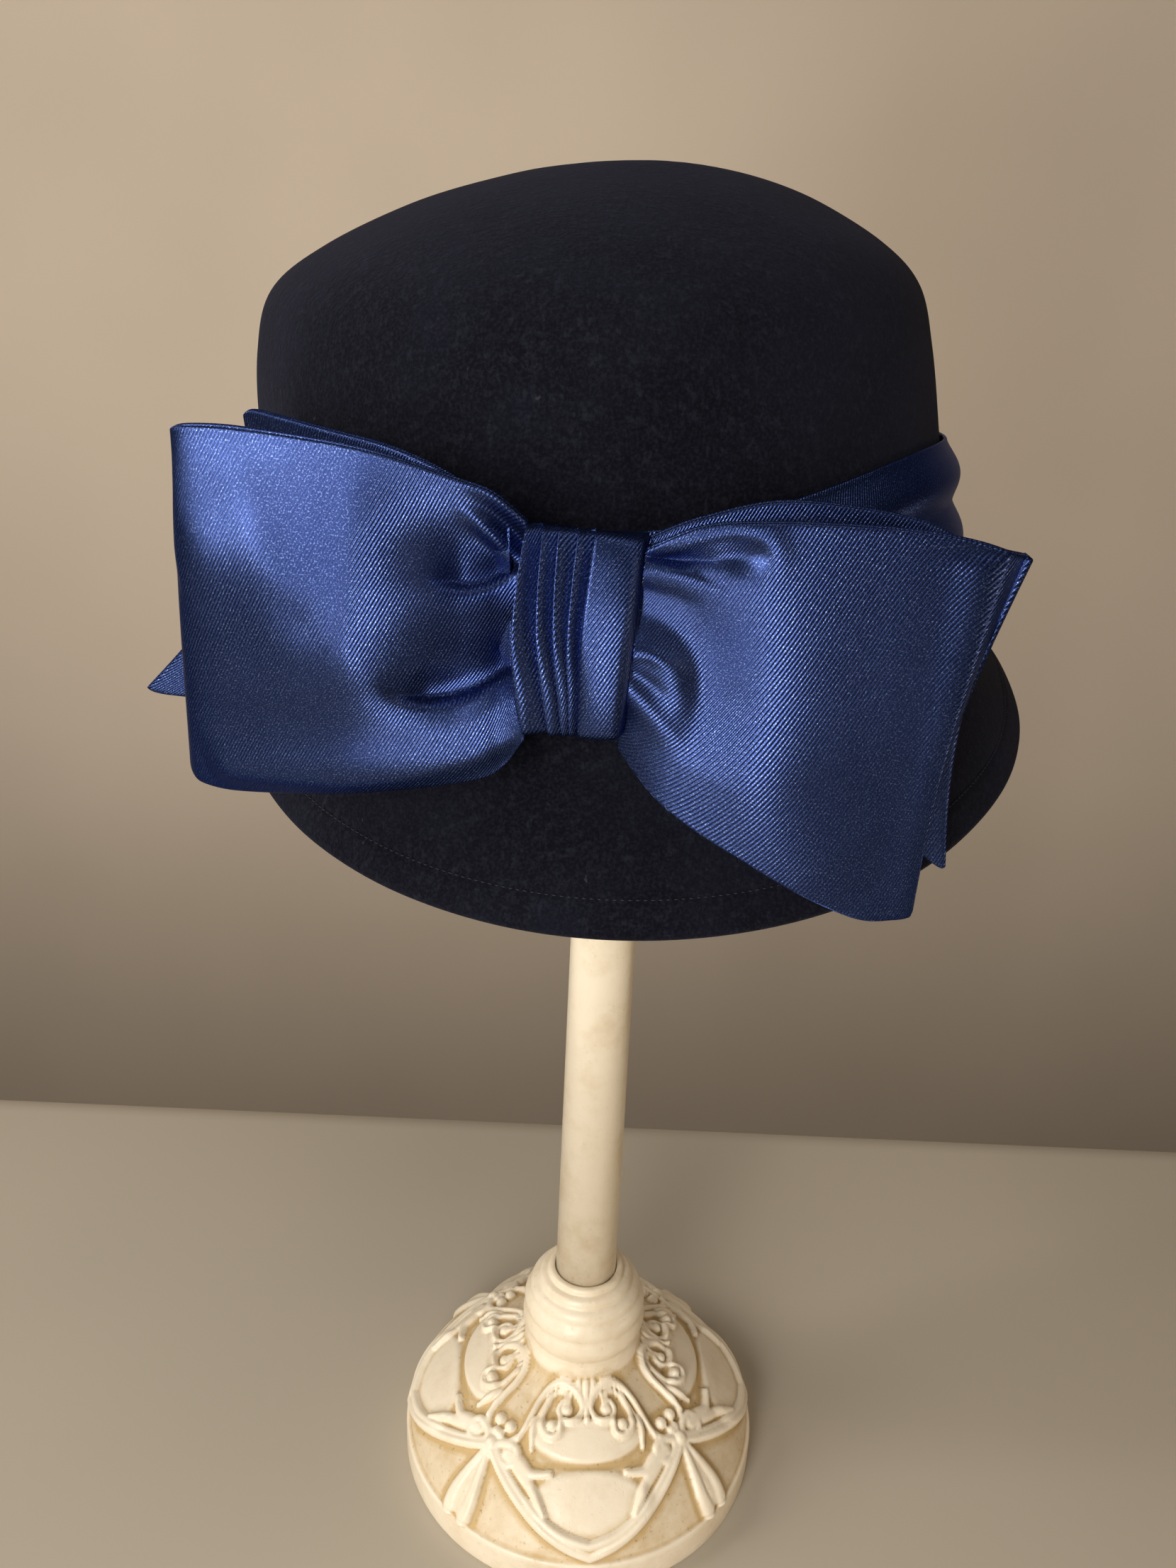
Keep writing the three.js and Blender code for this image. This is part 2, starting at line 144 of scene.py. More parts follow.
def quarter_round(t):
    """How far a quarter circle has fallen: 1 - sqrt(1 - t^2) for t from 0 to 1."""
    return 1 - np.sqrt(1 - np.clip(t, 0, 1) ** 2)


def full_turn(count, start=0.0):
    """Angles in equal steps once round."""
    return np.linspace(start, start + 2 * np.pi, count, endpoint=False)


def unit(vectors):
    """The vectors at length 1."""
    return vectors / np.maximum(np.linalg.norm(vectors, axis=-1, keepdims=True), 1e-9)


# %% Normals and meshes from grids
def grid_normals(grid, wrap=False):
    """Unit normals of grid[row, column], square to the steps along its columns and its rows."""
    down = np.gradient(grid, axis=0)
    across = (np.roll(grid, -1, 1) - np.roll(grid, 1, 1)) / 2 if wrap else np.gradient(grid, axis=1)
    return unit(np.cross(across, down))


def grid_faces(rows, columns, wrap_rows=False, wrap_columns=False):
    """Corners of every quad of a grid. A wrapped side joins its last line to its first."""
    i = np.arange(rows if wrap_rows else rows - 1)[:, None]
    j = np.arange(columns if wrap_columns else columns - 1)[None, :]
    next_i, next_j = (i + 1) % rows, (j + 1) % columns
    corners = (i * columns + j, i * columns + next_j, next_i * columns + next_j, next_i * columns + j)
    return np.stack(corners, axis=-1).reshape(-1, 4)


def signed_volume(points, faces):
    """Sum of the signed tetrahedra between the origin and the two triangles of each quad."""
    a, b, c, d = (points[faces[:, k]] for k in range(4))
    return (np.cross(a, b) * c + np.cross(a, c) * d).sum() / 6


def add_object(name, data):
    """A new object in the scene."""
    made = bpy.data.objects.new(name, data)
    bpy.context.scene.collection.objects.link(made)
    return made


def new_mesh(name, points, faces, uv=None, carving=None):
    """A smooth mesh object from points in millimetres and quads that face outwards."""
    if signed_volume(points - points.mean(0), faces) < 0:
        faces = faces[:, ::-1]
    mesh = bpy.data.meshes.new(name)
    mesh.vertices.add(len(points))
    mesh.vertices.foreach_set("co", (points * MM).ravel())
    mesh.loops.add(faces.size)
    mesh.loops.foreach_set("vertex_index", faces.ravel())
    mesh.polygons.add(len(faces))
    mesh.polygons.foreach_set("loop_start", np.arange(0, faces.size, 4))
    mesh.update(calc_edges=True)
    if uv is not None:
        layer = mesh.uv_layers.new(name="cloth")
        layer.data.foreach_set("uv", uv.reshape(-1, 2)[faces.ravel()].ravel())
    if carving is not None:
        mesh.attributes.new("carving", "FLOAT", "POINT").data.foreach_set("value", carving.ravel())
    mesh.shade_smooth()
    merge_doubles(mesh)
    return add_object(name, mesh)


def grid_mesh(name, grid, wrap_rows=False, wrap_columns=True, **more):
    """A mesh object from grid[row, column] of points."""
    faces = grid_faces(*grid.shape[:2], wrap_rows, wrap_columns)
    return new_mesh(name, grid.reshape(-1, 3), faces, **more)


def merge_doubles(mesh):
    """Joins points that lie on each other, as at a pole, which closes the mesh there."""
    work = bmesh.new()
    work.from_mesh(mesh)
    bmesh.ops.remove_doubles(work, verts=work.verts, dist=1e-6)
    bmesh.ops.dissolve_degenerate(work, edges=work.edges, dist=1e-7)
    work.to_mesh(mesh)
    work.free()


def finish_piece(piece, slot, finish, *nodes):
    """Puts a piece on the one body, with its finish and the CAD nodes that it stands for; slot is not used.
    """
    piece.data.materials.append(finish)
    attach(piece, "root")
    if nodes:
        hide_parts(*nodes)
    print(f"{piece.name}: {len(piece.data.vertices)} points, {len(piece.data.polygons)} faces")
    return piece


# %% [markdown]
# ## Shader maths as expressions
# A finish is a few noises and waves added together. Written as Python expressions on sockets, the sum reads
# as a formula. Numbers go through Math nodes and colours through Mix nodes, which don't turn a colour grey.

# %% Sockets with arithmetic, and one method for every node
class Wire:
    """An output socket; + - and * add Math nodes."""

    def __init__(self, finish, socket):
        self.finish, self.socket = finish, socket

    def maths(self, operation, *others):
        return self.finish.node("ShaderNodeMath", {"operation": operation}, self, *others)

    def __add__(self, other):
        return self.maths("ADD", other)

    def __sub__(self, other):
        return self.maths("SUBTRACT", other)

    def __rsub__(self, other):
        return self.finish.node("ShaderNodeMath", {"operation": "SUBTRACT"}, other, self)

    def __mul__(self, other):
        return self.maths("MULTIPLY", other)

    __radd__, __rmul__ = __add__, __mul__

    def sine(self):
        return self.maths("SINE")

    def between(self, low, high):
        """0 below low to 1 above high, in a soft step."""
        ends = {"From Min": low, "From Max": high}
        return self.finish.node("ShaderNodeMapRange", {"interpolation_type": "SMOOTHSTEP"}, self, **ends)


class Finish:
    """One material with a Principled shader."""

    def __init__(self, name, **plain):
        self.material = bpy.data.materials.new(name)
        self.material.use_nodes = True
        self.tree = self.material.node_tree
        self.shader = self.tree.nodes["Principled BSDF"]
        self.feed(**plain)

    def node(self, kind, settings=None, *values, out=0, **named):
        """Adds a node with its settings and its sockets' values or links, and gives one output."""
        made = self.tree.nodes.new(kind)
        for key, value in (settings or {}).items():
            setattr(made, key, value)
        for key, value in [*enumerate(values), *named.items()]:
            self.fill(made.inputs[key], value)
        return Wire(self, made.outputs[out])

    def fill(self, socket, value):
        if isinstance(value, Wire):
            self.tree.links.new(value.socket, socket)
        else:
            socket.default_value = value

    def feed(self, **sockets):
        """Sets the shader's sockets, to plain values or to what varies over the surface."""
        for name, value in sockets.items():
            self.fill(self.shader.inputs[name.replace("_", " ")], value)

    def place(self):
        return self.node("ShaderNodeTexCoord", out="Object")

    def noise(self, at, scale, detail=2.0, rough=0.5, stretch=None):
        """Noise from 0 to 1. It is drawn out in the directions where stretch is small."""
        if stretch is not None:
            at = self.node("ShaderNodeMapping", {}, at, Scale=stretch)
        return self.node("ShaderNodeTexNoise", {}, Vector=at, Scale=scale, Detail=detail, Roughness=rough)

    def mix(self, share, low, high):
        """Colour from low to high with share. Sockets 6 and 7 are the node's two colours."""
        made = self.node("ShaderNodeMix", {"data_type": "RGBA"}, share, out=2)
        for key, value in ((6, low), (7, high)):
            self.fill(made.socket.node.inputs[key], value)
        return made

    def bump(self, height, strength, distance):
        return self.node("ShaderNodeBump", {}, Height=height, Strength=strength, Distance=distance)


# %% [markdown]
# ## Camera
# It stands in front of the hat, level with the top of the crown, and looks down along it, turned a little
# about its own axis. A short lens near the hat gives the strong foreshortening down to the small base.

# %% Camera
EYE = np.array([-0.0067, -0.320, 0.3743])
LOOK_DOWN, ROLL = np.radians(21), np.radians(2.56)
LENS = 27.03

forward = np.array([0, np.cos(LOOK_DOWN), -np.sin(LOOK_DOWN)])
level = np.array([1.0, 0, 0])
upright = np.array([0, np.sin(LOOK_DOWN), np.cos(LOOK_DOWN)])
right = np.cos(ROLL) * level + np.sin(ROLL) * upright
up = np.cos(ROLL) * upright - np.sin(ROLL) * level
camera = add_object("camera", bpy.data.cameras.new("camera"))
camera.data.lens = LENS
camera.data.sensor_width = 36
camera.data.clip_start = 0.01
camera.matrix_world = Matrix(np.vstack([np.column_stack([right, up, -forward, EYE]), [0, 0, 0, 1]]).tolist())
bpy.context.scene.camera = camera

# %% [markdown]
# ## Felt
# Wool felt has no weave. It is a mat of short fibres with a dull, slightly cloudy colour and a fine pile that
# catches light at grazing angles. Noises of different size make the clouds, the tufts and the fibres, and the
# shader's sheen makes the pile.

# %% Felt finish
FELT_CLOUDS = (0.0019, 0.0020, 0.0050, 1), (0.0042, 0.0045, 0.0098, 1)
FIBRE_TIPS, LINT = (0.013, 0.014, 0.023, 1), (0.06, 0.06, 0.075, 1)


def felt_finish():
    sheen = {"Sheen_Weight": 0.05, "Sheen_Roughness": 0.5, "Sheen_Tint": (0.35, 0.40, 0.70, 1)}
    felt = Finish("wool_felt", Roughness=0.95, Specular_IOR_Level=0.1, **sheen)
    at = felt.place()
    cloud = felt.noise(at, 45, 3)
    mat = felt.noise(at, 1500, 4, 0.65)
    tuft = felt.noise(at, 380, 3, 0.6)
    fibre = felt.noise(at, 900, 3, 0.6, stretch=(1, 0.35, 0.6))
    fibre = fibre * felt.noise(at, 800, 3, 0.6, stretch=(0.35, 1, 0.6))
    base = felt.mix(cloud.between(0.35, 0.7), *FELT_CLOUDS)
    base = felt.mix(mat.between(0.4, 0.7) * 0.5 + fibre.between(0.25, 0.4) * 0.4, base, FIBRE_TIPS)
    lint = felt.noise(at, 420).between(0.74, 0.8) * 0.35
    felt.feed(Base_Color=felt.mix(lint, base, LINT))
    felt.feed(Normal=felt.bump(mat * 0.6 + tuft * 0.5 + fibre * 1.2, 0.8, 0.0005))
    return felt.material


felt_material = felt_finish()

# %% [markdown]
# ## The hood
# Crown and brim are one piece of felt. The block gives the crown a rounded shoulder and a light crease along
# its top, and the brim is ironed down and out from the head opening. A table of ellipses up the crown, read
# through smooth curves, gives a surface of two parameters: angle from the front, and place up the felt.

# %% The hood's outer surface
CROWN = table("height half_width half_length shift", [
    (0, 84.5, 98, -3.5),
    (17, 84.5, 98.5, -6.5),
    (36, 83, 96.5, -8.8),
    (53, 80.5, 92.5, -9.8),
    (66, 76, 88, -9.5),
    (75, 65, 77.5, -7.5),
    (82.5, 48.5, 61, -5),
    (88, 31.5, 42, -2.5),
    (91.8, 16, 21, -1),
    (93.3, 0, 0, -1),
])
CROWN_TOP = len(CROWN) - 1
CREASE = {"x": 3, "depth": 9, "half_width": 15, "starts": (-24, 14), "ends": (24, 62)}
BRIM = {"half_width": 102.5, "half_length": 118.5, "x": -0.5, "y": -2.3}
BRIM_DROP = {"all_round": 31.4, "dip": 9, "dip_ends": 2.6}
BRIM_FLARE = 1.15  # above 1 the brim leaves the crown steeply and spreads towards its edge
BLOCKING_WAVES = 0.22


def crown_surface(angle, place):
    """An ellipse at each height, its middle shifted sideways, with a crease pressed in along the top."""
    x = column(CROWN, "shift", place) + np.maximum(column(CROWN, "half_width", place), 0) * np.sin(angle)
    y = -np.maximum(column(CROWN, "half_length", place), 0) * np.cos(angle)
    across = bell(x - CREASE["x"], CREASE["half_width"])
    starts, ends = soft_step(*CREASE["starts"], y), soft_step(*CREASE["ends"], y)
    z = column(CROWN, "height", place) - CREASE["depth"] * across * starts * (1 - ends)
    return together(x, y, z)


def brim_surface(angle, out):
    """From the head opening to an oval edge that dips at the front, along a flaring curve."""
    foot = crown_surface(angle, np.zeros_like(angle))
    front = np.cos(angle)
    drop = BRIM_DROP["all_round"] + BRIM_DROP["dip"] * front + BRIM_DROP["dip_ends"] * front**2
    edge_x = BRIM["x"] + BRIM["half_width"] * np.sin(angle)
    edge_y = BRIM["y"] - BRIM["half_length"] * front
    spread = out**BRIM_FLARE
    x, y = blend(foot[..., 0], edge_x, spread), blend(foot[..., 1], edge_y, spread)
    return together(x, y, -drop * out)


def hand_blocked(points):
    """Slow waves of a few tenths of a millimetre, as in felt that was pulled by hand."""
    x, y, z = np.moveaxis(points, -1, 0)
    waves = np.sin(x / 11 + y / 17) * np.sin(z / 13 + 1) + 0.6 * np.sin(x / 7 - z / 9 + 2) * np.sin(y / 8)
    return BLOCKING_WAVES * waves


# %% The hood as one closed wall
AROUND, CROWN_ROWS, BRIM_ROWS = 320, 90, 56
FELT_WALL, HEM_WALL, HEM = 1.8, 3.0, 6.4
HEM_STEP, HEM_SWELL = 0.6, 0.3  # how softly the hem starts, and how far it stands out
STITCH_GROOVE = {"depth": 0.45, "width": 0.7}

angle = full_turn(AROUND)[None, :]
crown_places = CROWN_TOP * (1 - np.linspace(0, 1, CROWN_ROWS)[:, None] ** 0.8)
brim_places = np.linspace(0, 1, BRIM_ROWS)[1:, None]
outside = np.concatenate([crown_surface(angle, crown_places), brim_surface(angle, brim_places)])
outward = grid_normals(outside, wrap=True)
outward[0] = (0, 0, 1)
halfway = CROWN_ROWS // 2
outward *= np.sign((outward[halfway] * (outside[halfway] - [0, 0, CROWN[2]["height"]])).sum())
steps = np.linalg.norm(np.diff(outside, axis=0), axis=-1)
from_edge = np.append(np.cumsum(steps[::-1], axis=0)[::-1], np.zeros((1, AROUND)), axis=0)
in_hem = 1 - soft_step(HEM - HEM_STEP, HEM + HEM_STEP, from_edge)
groove = STITCH_GROOVE["depth"] * bell(from_edge - HEM, STITCH_GROOVE["width"])
relief = hand_blocked(outside) + HEM_SWELL * in_hem - groove
outside = outside + relief[..., None] * outward
wall = blend(FELT_WALL, HEM_WALL, in_hem)
inside = outside - wall[..., None] * outward

edge_turn = np.linspace(0, np.pi, 9)[1:-1, None, None]
edge_out = unit(outside[-1] - outside[-3])
edge_middle = (outside[-1] + inside[-1]) / 2
edge = edge_middle + (np.cos(edge_turn) * outward[-1] + np.sin(edge_turn) * edge_out) * wall[-1][:, None] / 2
hood = grid_mesh("hood", on_stand(np.concatenate([outside, edge, inside[::-1]])))
finish_piece(hood, "felt", felt_material, "felt_hood")

# %% [markdown]
# ## Hem stitches
# The brim's edge is turned under and sewn down by machine, and the stitches show as a fine dotted line in a
# shallow groove. One stitch is a short bent thread, set down again and again along it by an array sum.

# %% Stitches along the groove
STITCH = {"pitch": 1.5, "length": 1.15, "thread": 0.17, "rise": 0.16}
THREAD_RINGS, THREAD_SIDES = 5, 5

line_numbers = np.arange(len(from_edge))[::-1]
sewn = np.array([np.interp(HEM, from_edge[::-1, k], line_numbers) for k in range(AROUND)])
lower, part = np.floor(sewn).astype(int), (sewn % 1)[:, None]
every = np.arange(AROUND)
seam = outside[lower, every] * (1 - part) + outside[lower + 1, every] * part
seam_length = np.append(0, np.cumsum(np.linalg.norm(np.roll(seam, -1, 0) - seam, axis=1)))
stitch_count = int(seam_length[-1] / STITCH["pitch"])
at_length = (np.arange(stitch_count) + 0.5) * seam_length[-1] / stitch_count


def along_seam(values, length):
    """Values at the seam's points, read at lengths along the closed seam."""
    closed = np.append(values, values[:1], axis=0)
    return np.stack([np.interp(length, seam_length, closed[:, k]) for k in range(3)], axis=-1)


middle, outer = along_seam(seam, at_length), along_seam(outward[lower, every], at_length)
ahead = unit(along_seam(np.roll(seam, -1, 0) - np.roll(seam, 1, 0), at_length))
beside = np.cross(ahead, outer)
t = np.linspace(-1, 1, THREAD_RINGS)[:, None]
turn = full_turn(THREAD_SIDES)[None, :]
thick = STITCH["thread"] * np.sqrt(np.clip(1 - 0.98 * t**2, 0, 1))
lift = STITCH["rise"] * (1 - 1.6 * t**2) + thick * np.sin(turn)
one = together(t * STITCH["length"] / 2, thick * np.cos(turn), lift).reshape(-1, 3)
axes = np.stack([ahead, beside, outer], axis=1)
stitches_at = on_stand((middle[:, None] + one @ axes).reshape(-1, 3))
one_faces = grid_faces(THREAD_RINGS, THREAD_SIDES, wrap_columns=True)
shift = (np.arange(stitch_count) * len(one))[:, None, None]
stitch_faces = (one_faces[None] + shift).reshape(-1, 4)


def thread_finish():
    thread = Finish("hem_thread", Roughness=0.6, Specular_IOR_Level=0.3)
    twist = thread.noise(thread.place(), 2500)
    thread.feed(Base_Color=thread.mix(twist, (0.004, 0.004, 0.008, 1), (0.020, 0.021, 0.030, 1)))
    return thread.material


stitches = new_mesh("hem_stitches", stitches_at, stitch_faces)
finish_piece(stitches, "felt", thread_finish())
print("stitches:", stitch_count, "along", round(float(seam_length[-1])), "mm")

# %% [markdown]
# ## Satin
# Satin floats its shiny threads over the face in fine diagonal lines. It is dark where it mirrors nothing and
# pale blue where it mirrors a light. The mirror image has the dye's own colour, so the shader is nearly all
# metallic. The cloth's own coordinates carry the twill lines and the grain, which must bend with every fold.

# %% Satin finish
TWILL_PITCH = 0.62  # millimetres between the diagonal lines
DYED_BLUES = (0.017, 0.031, 0.112, 1), (0.023, 0.041, 0.142, 1)
THREAD_BLUE, SPARKLE = (0.043, 0.067, 0.195, 1), (0.18, 0.26, 0.54, 1)


def satin_finish():
    satin = Finish("blue_satin", Metallic=0.93, Specular_Tint=(0.30, 0.34, 0.60, 1))
    cloth = satin.node("ShaderNodeUVMap", {"uv_map": "cloth"})
    along, across = (satin.node("ShaderNodeSeparateXYZ", {}, cloth, out=k) for k in (0, 1))
    twill = ((along * 0.87 - across * 0.5) * (2 * np.pi / TWILL_PITCH)).sine()
    grain = satin.noise(cloth, 3.4, 2, 0.7)
    sparkle = satin.noise(cloth, 3.3, 1).between(0.55, 0.72)
    shade = satin.noise(cloth, 0.06)
    base = satin.mix(shade.between(0.3, 0.7), *DYED_BLUES)
    base = satin.mix(twill * 0.5 + grain.between(0.35, 0.7) * 0.5, base, THREAD_BLUE)
    satin.feed(Base_Color=satin.mix(sparkle * 0.75, base, SPARKLE))
    satin.feed(Roughness=grain * 0.16 + 0.22)
    satin.feed(Normal=satin.bump(twill * 0.8 + grain * 0.8, 0.5, 0.0001))
    return satin.material


satin_material = satin_finish()

# %% [markdown]
# ## Folded satin
# Band and loops are doubled satin: two plies with soft folded edges. Rings round the surface between the
# plies, out along one face, round the folded edge and back along the other, give a closed piece.

# %% A doubled sheet from its middle surface
EDGE_STEPS = 5


def doubled(middle, thick, wrap=False):
    """Rings round a surface middle[along, across]: both faces and two half-round folded edges."""
    half = thick / 2
    normal = grid_normals(np.swapaxes(middle, 0, 1), wrap=wrap)
    normal = np.swapaxes(normal, 0, 1)
    turn = np.linspace(0, np.pi, EDGE_STEPS + 2)[None, 1:-1, None]

    def edge(end, inner, side):
        outward = unit(middle[:, [end]] - middle[:, [inner]])
        return middle[:, [end]] + half * (side * np.cos(turn) * normal[:, [end]] + np.sin(turn) * outward)

    faces = middle + half * normal, (middle - half * normal)[:, ::-1]
    return np.concatenate([faces[0], edge(-1, -2, 1), faces[1], edge(0, 1, -1)], axis=1)


def cloth_lengths(grid):
    """Distances over the cloth: along it from its first line, and round it from its first point."""
    along = np.linalg.norm(np.diff(grid, axis=0), axis=-1).mean(1)
    across = np.linalg.norm(np.diff(grid, axis=1), axis=-1).mean(0)
    return together(np.append(0, np.cumsum(along))[:, None], np.append(0, np.cumsum(across)))


def with_ends(rings, uv):
    """Adds a ring at each end, drawn together to its middle, so that both ends are closed flat."""
    first, last = (end.mean(1, keepdims=True) + 0 * end for end in (rings[:1], rings[-1:]))
    return np.concatenate([first, rings, last]), np.concatenate([uv[:1], uv, uv[-1:]])


def folded_satin(name, middle, thick, closed_ring=False):
    """A doubled sheet as a mesh on the stand. Its two ends are closed flat unless it is a ring."""
    rings = doubled(middle, thick, wrap=closed_ring)
    uv = cloth_lengths(rings)
    if not closed_ring:
        rings, uv = with_ends(rings, uv)
    strip = np.append(middle, middle[:1], axis=0) if closed_ring else middle
    print("strip, mm long and wide:", cloth_lengths(strip)[-1, -1].round(1))
    return grid_mesh(name, on_stand(rings), closed_ring, uv=uv)

# %% [markdown]
# ## Band
# The band is a straight strip of satin, pulled round the crown and let fall into two soft rolls, a cosine up
# its height. It stands higher beside the bow, and is pulled flat behind it.

# %% Band
BAND = {"clear": 0.9, "thick": 0.9, "low": 2, "high": 29.5, "rise": 6.5, "rise_ends": 1.75}
BAND_ROLL = {"count": 2, "depth": 2.6, "starts": (0.1, 0.6), "behind_bow": 0.25}
BAND_AROUND, BAND_ROWS = 360, 60

band_angle = full_turn(BAND_AROUND)[:, None]
band_up = np.linspace(0, 1, BAND_ROWS)[None, :]


def crown_at_height(angle, height):
    """The felt at one height on the steep part of the crown, by stepping along the table."""
    place = np.zeros_like(height)
    for _ in range(14):
        place = np.maximum(place + (height - column(CROWN, "height", place)) / CROWN[1]["height"], 0)
    return crown_surface(angle, place)


def band_surface(angle, up):
    """The crown's surface moved out by a clearance and by the rolls, (0.5 - 0.5 cos)^0.8 of the height."""
    from_front = np.minimum(angle, 2 * np.pi - angle)
    side = np.sin(np.pi * np.minimum(from_front, BAND["rise_ends"]) / BAND["rise_ends"])
    high = BAND["high"] + BAND["rise"] * side**2
    foot = crown_at_height(angle, blend(BAND["low"], high, up))
    draped = blend(BAND_ROLL["behind_bow"], 1, soft_step(*BAND_ROLL["starts"], from_front))
    lean = 0.10 * np.sin(3 * angle + 1) + 0.07 * np.sin(5 * angle)
    roll = (0.5 - 0.5 * np.cos(2 * np.pi * BAND_ROLL["count"] * (up + lean * up * (1 - up) * 2))) ** 0.8
    small = 0.25 * np.sin(9 * up + 7 * angle) * np.sin(np.pi * up)
    out = BAND["clear"] + BAND["thick"] / 2 + BAND_ROLL["depth"] * draped * roll + small * draped
    return foot + out[..., None] * together(np.sin(angle), -np.cos(angle), 0)


band = folded_satin("band", band_surface(band_angle, band_up), BAND["thick"], closed_ring=True)
finish_piece(band, "satin", satin_material, "satin_band")

# %% [markdown]
# ## Loops of the bow
# Each loop is one length of doubled satin. It leaves the knot, runs out to its fold, turns there and comes
# back behind itself. A table of sections from the knot to the fold gives its shape. Folds are then laid over
# it: soft ridges and hollows along curved lines that fan out from the knot, where the cloth is gathered.

# %% Tables of the loops, in the hat's frame
# One row for each section: its upper and lower edge, how far its front face stands out in the middle, and how
# far its back face lies behind.
LOOP_COLUMNS = "top_x top_y top_z low_x low_y low_z front back"
LOOPS = {
    "loop_front_left": [
        (-20, -114.5, 34.8, -21.5, -114, -3.5, -3, 1.5),
        (-25.2, -114, 39.8, -25.8, -113.8, -9.8, -0.9, 2),
        (-31.5, -112.8, 42.3, -33, -113.3, -12.9, 2.2, 2.7),
        (-47.6, -110, 47, -56, -109, -17, 9.4, 4),
        (-70.4, -104, 49.5, -81, -99.5, -21.5, 11, 6),
        (-82.4, -101, 49.5, -91.3, -95.5, -21.1, 9.5, 5),
    ],
    "loop_front_right": [
        (0.2, -114.5, 30.6, -4.2, -114, -5.6, 4, 1.2),
        (10, -115, 35, 4.7, -119.5, -15.6, 2.4, 2),
        (23.5, -116, 35.8, 20.9, -122.5, -26, 3, 3),
        (43.9, -115.5, 34.4, 39.2, -122, -37.1, 2.4, 4.4),
        (57, -115, 32, 49, -119.5, -39.7, 2.2, 5),
        (66.8, -114.5, 28.4, 53.7, -117, -40.3, 1.8, 4.6),
    ],
    "loop_rear_left": [
        (-23.1, -109, 34, -23.9, -109, 2, 0.5, 1.2),
        (-32, -105.5, 40.4, -36, -104, -5, 0.8, 1.6),
        (-44, -98.5, 44.6, -55, -95, -8, 1, 2),
        (-58, -90, 46.6, -80, -83, -10.5, 2, 3.4),
        (-76, -79, 48.8, -107, -73, -12, 2, 3.4),
    ],
    "loop_rear_right": [
        (1.4, -109, 31.5, -0.4, -109, 1, 0.5, 1.2),
        (10, -107.7, 34.4, 9, -107, -8, 0.8, 1.8),
        (25.3, -105.7, 36.8, 24, -106, -13, 1, 2.2),
        (45, -104, 34, 43, -104, -20, 1.6, 3),
        (56, -103.5, 30, 53.5, -103.5, -31, 2, 3),
        (65.5, -103.5, 22.6, 62.5, -103.5, -38.5, 2, 2.6),
    ],
}
# For each loop: its doubled strip before it was folded, wide and long in metres; how far its fold curves in
# towards the knot; how far its top and low corners are drawn in; the power that closes its faces at the fold;
# and the powers of the arch at its lower and upper edge.
LOOP_FORMS = dict(zip(LOOPS, table("cut pinch corners closing puff", [
    ((0.065, 0.150), 1, (0.8, 3.5), 20, (0.65, 1.2)),
    ((0.065, 0.142), 3, (0, 2.5), 36, (1, 1)),
    ((0.054, 0.143), 10, (1.8, 1.5), 12, (1, 1)),
    ((0.054, 0.139), 3, (1, 1), 12, (1, 1)),
])))
CORNER_REACH = 0.07  # the share of a loop over which its corners are drawn in
EDGE_FULLNESS = 0.15  # the share of the fullness that is left at the edges
END_TURN = {"loop_front_right": (0.085, 0.125, 6.5)}  # its share of the loop, low and high, and its depth

# %% Folds along curved lines
def fold_line(x, z, points):
    """Signed distance from a curve through points (x, z), and the place along it from 0 to 1.

    The curve is many short straight steps. The distance is square to the nearest step, and beyond the curve's
    ends it also counts what lies past the end.
    """
    place = np.linspace(0, len(points) - 1, 60)
    line_x, line_z = curve(points, place)
    nearest = ((x[..., None] - line_x) ** 2 + (z[..., None] - line_z) ** 2).argmin(-1)
    step_x, step_z = np.gradient(line_x)[nearest], np.gradient(line_z)[nearest]
    step = np.hypot(step_x, step_z)
    gap_x, gap_z = x - line_x[nearest], z - line_z[nearest]
    square = (step_x * gap_z - step_z * gap_x) / step
    ahead = (step_x * gap_x + step_z * gap_z) / step
    beyond = np.maximum(np.abs(ahead) - step / 2, 0)
    along = np.clip((nearest + ahead / step) / (len(place) - 1), 0, 1)
    return np.where(square < 0, -1, 1) * np.hypot(square, beyond), along


def fold_height(x, z, folds):
    """Sum of the folds, each a bell across its line, steeper on one side, that fades at its ends."""
    height = np.zeros_like(x)
    for points, size, left_width, right_width, fade_in, fade_out in folds:
        distance, along = fold_line(x, z, points)
        width = np.where(distance > 0, left_width, right_width)
        starts = soft_step(0, max(fade_in, 1e-6), along + (fade_in == 0))
        height = height + size * bell(distance, width) * (starts * (1 - soft_step(1 - fade_out, 1, along)))
    return height


def dent_depth(x, z, dents):
    """Sum of soft oval dents, each depth * exp(-(x / half width)^2 - (z / half height)^2)."""
    depth = np.zeros_like(x)
    for middle_x, middle_z, half_width, half_height, deep in dents:
        away_x, away_z = (x - middle_x) / half_width, (z - middle_z) / half_height
        depth = depth + deep * np.exp(-(away_x**2) - away_z**2)
    return depth


# Each dent: its middle (x, z), its half width and half height, and its depth, below 0 for a swelling.
DENTS = {
    "loop_front_left": [
        (-26.5, 30.5, 14.5, 7, 4),
        (-27, 14, 14, 7, 3.4),
        (-38, 6, 8, 5, 1.8),
        (-59, 20, 4.5, 5, 0.6),
        (-50, 36, 9, 8, -0.5),
        (-23, -9, 4.5, 4, 0.8),
        (-74, 40, 6, 10, 0.6),
    ],
    "loop_front_right": [(17, 30.2, 3.6, 2.6, 1.6)],
}

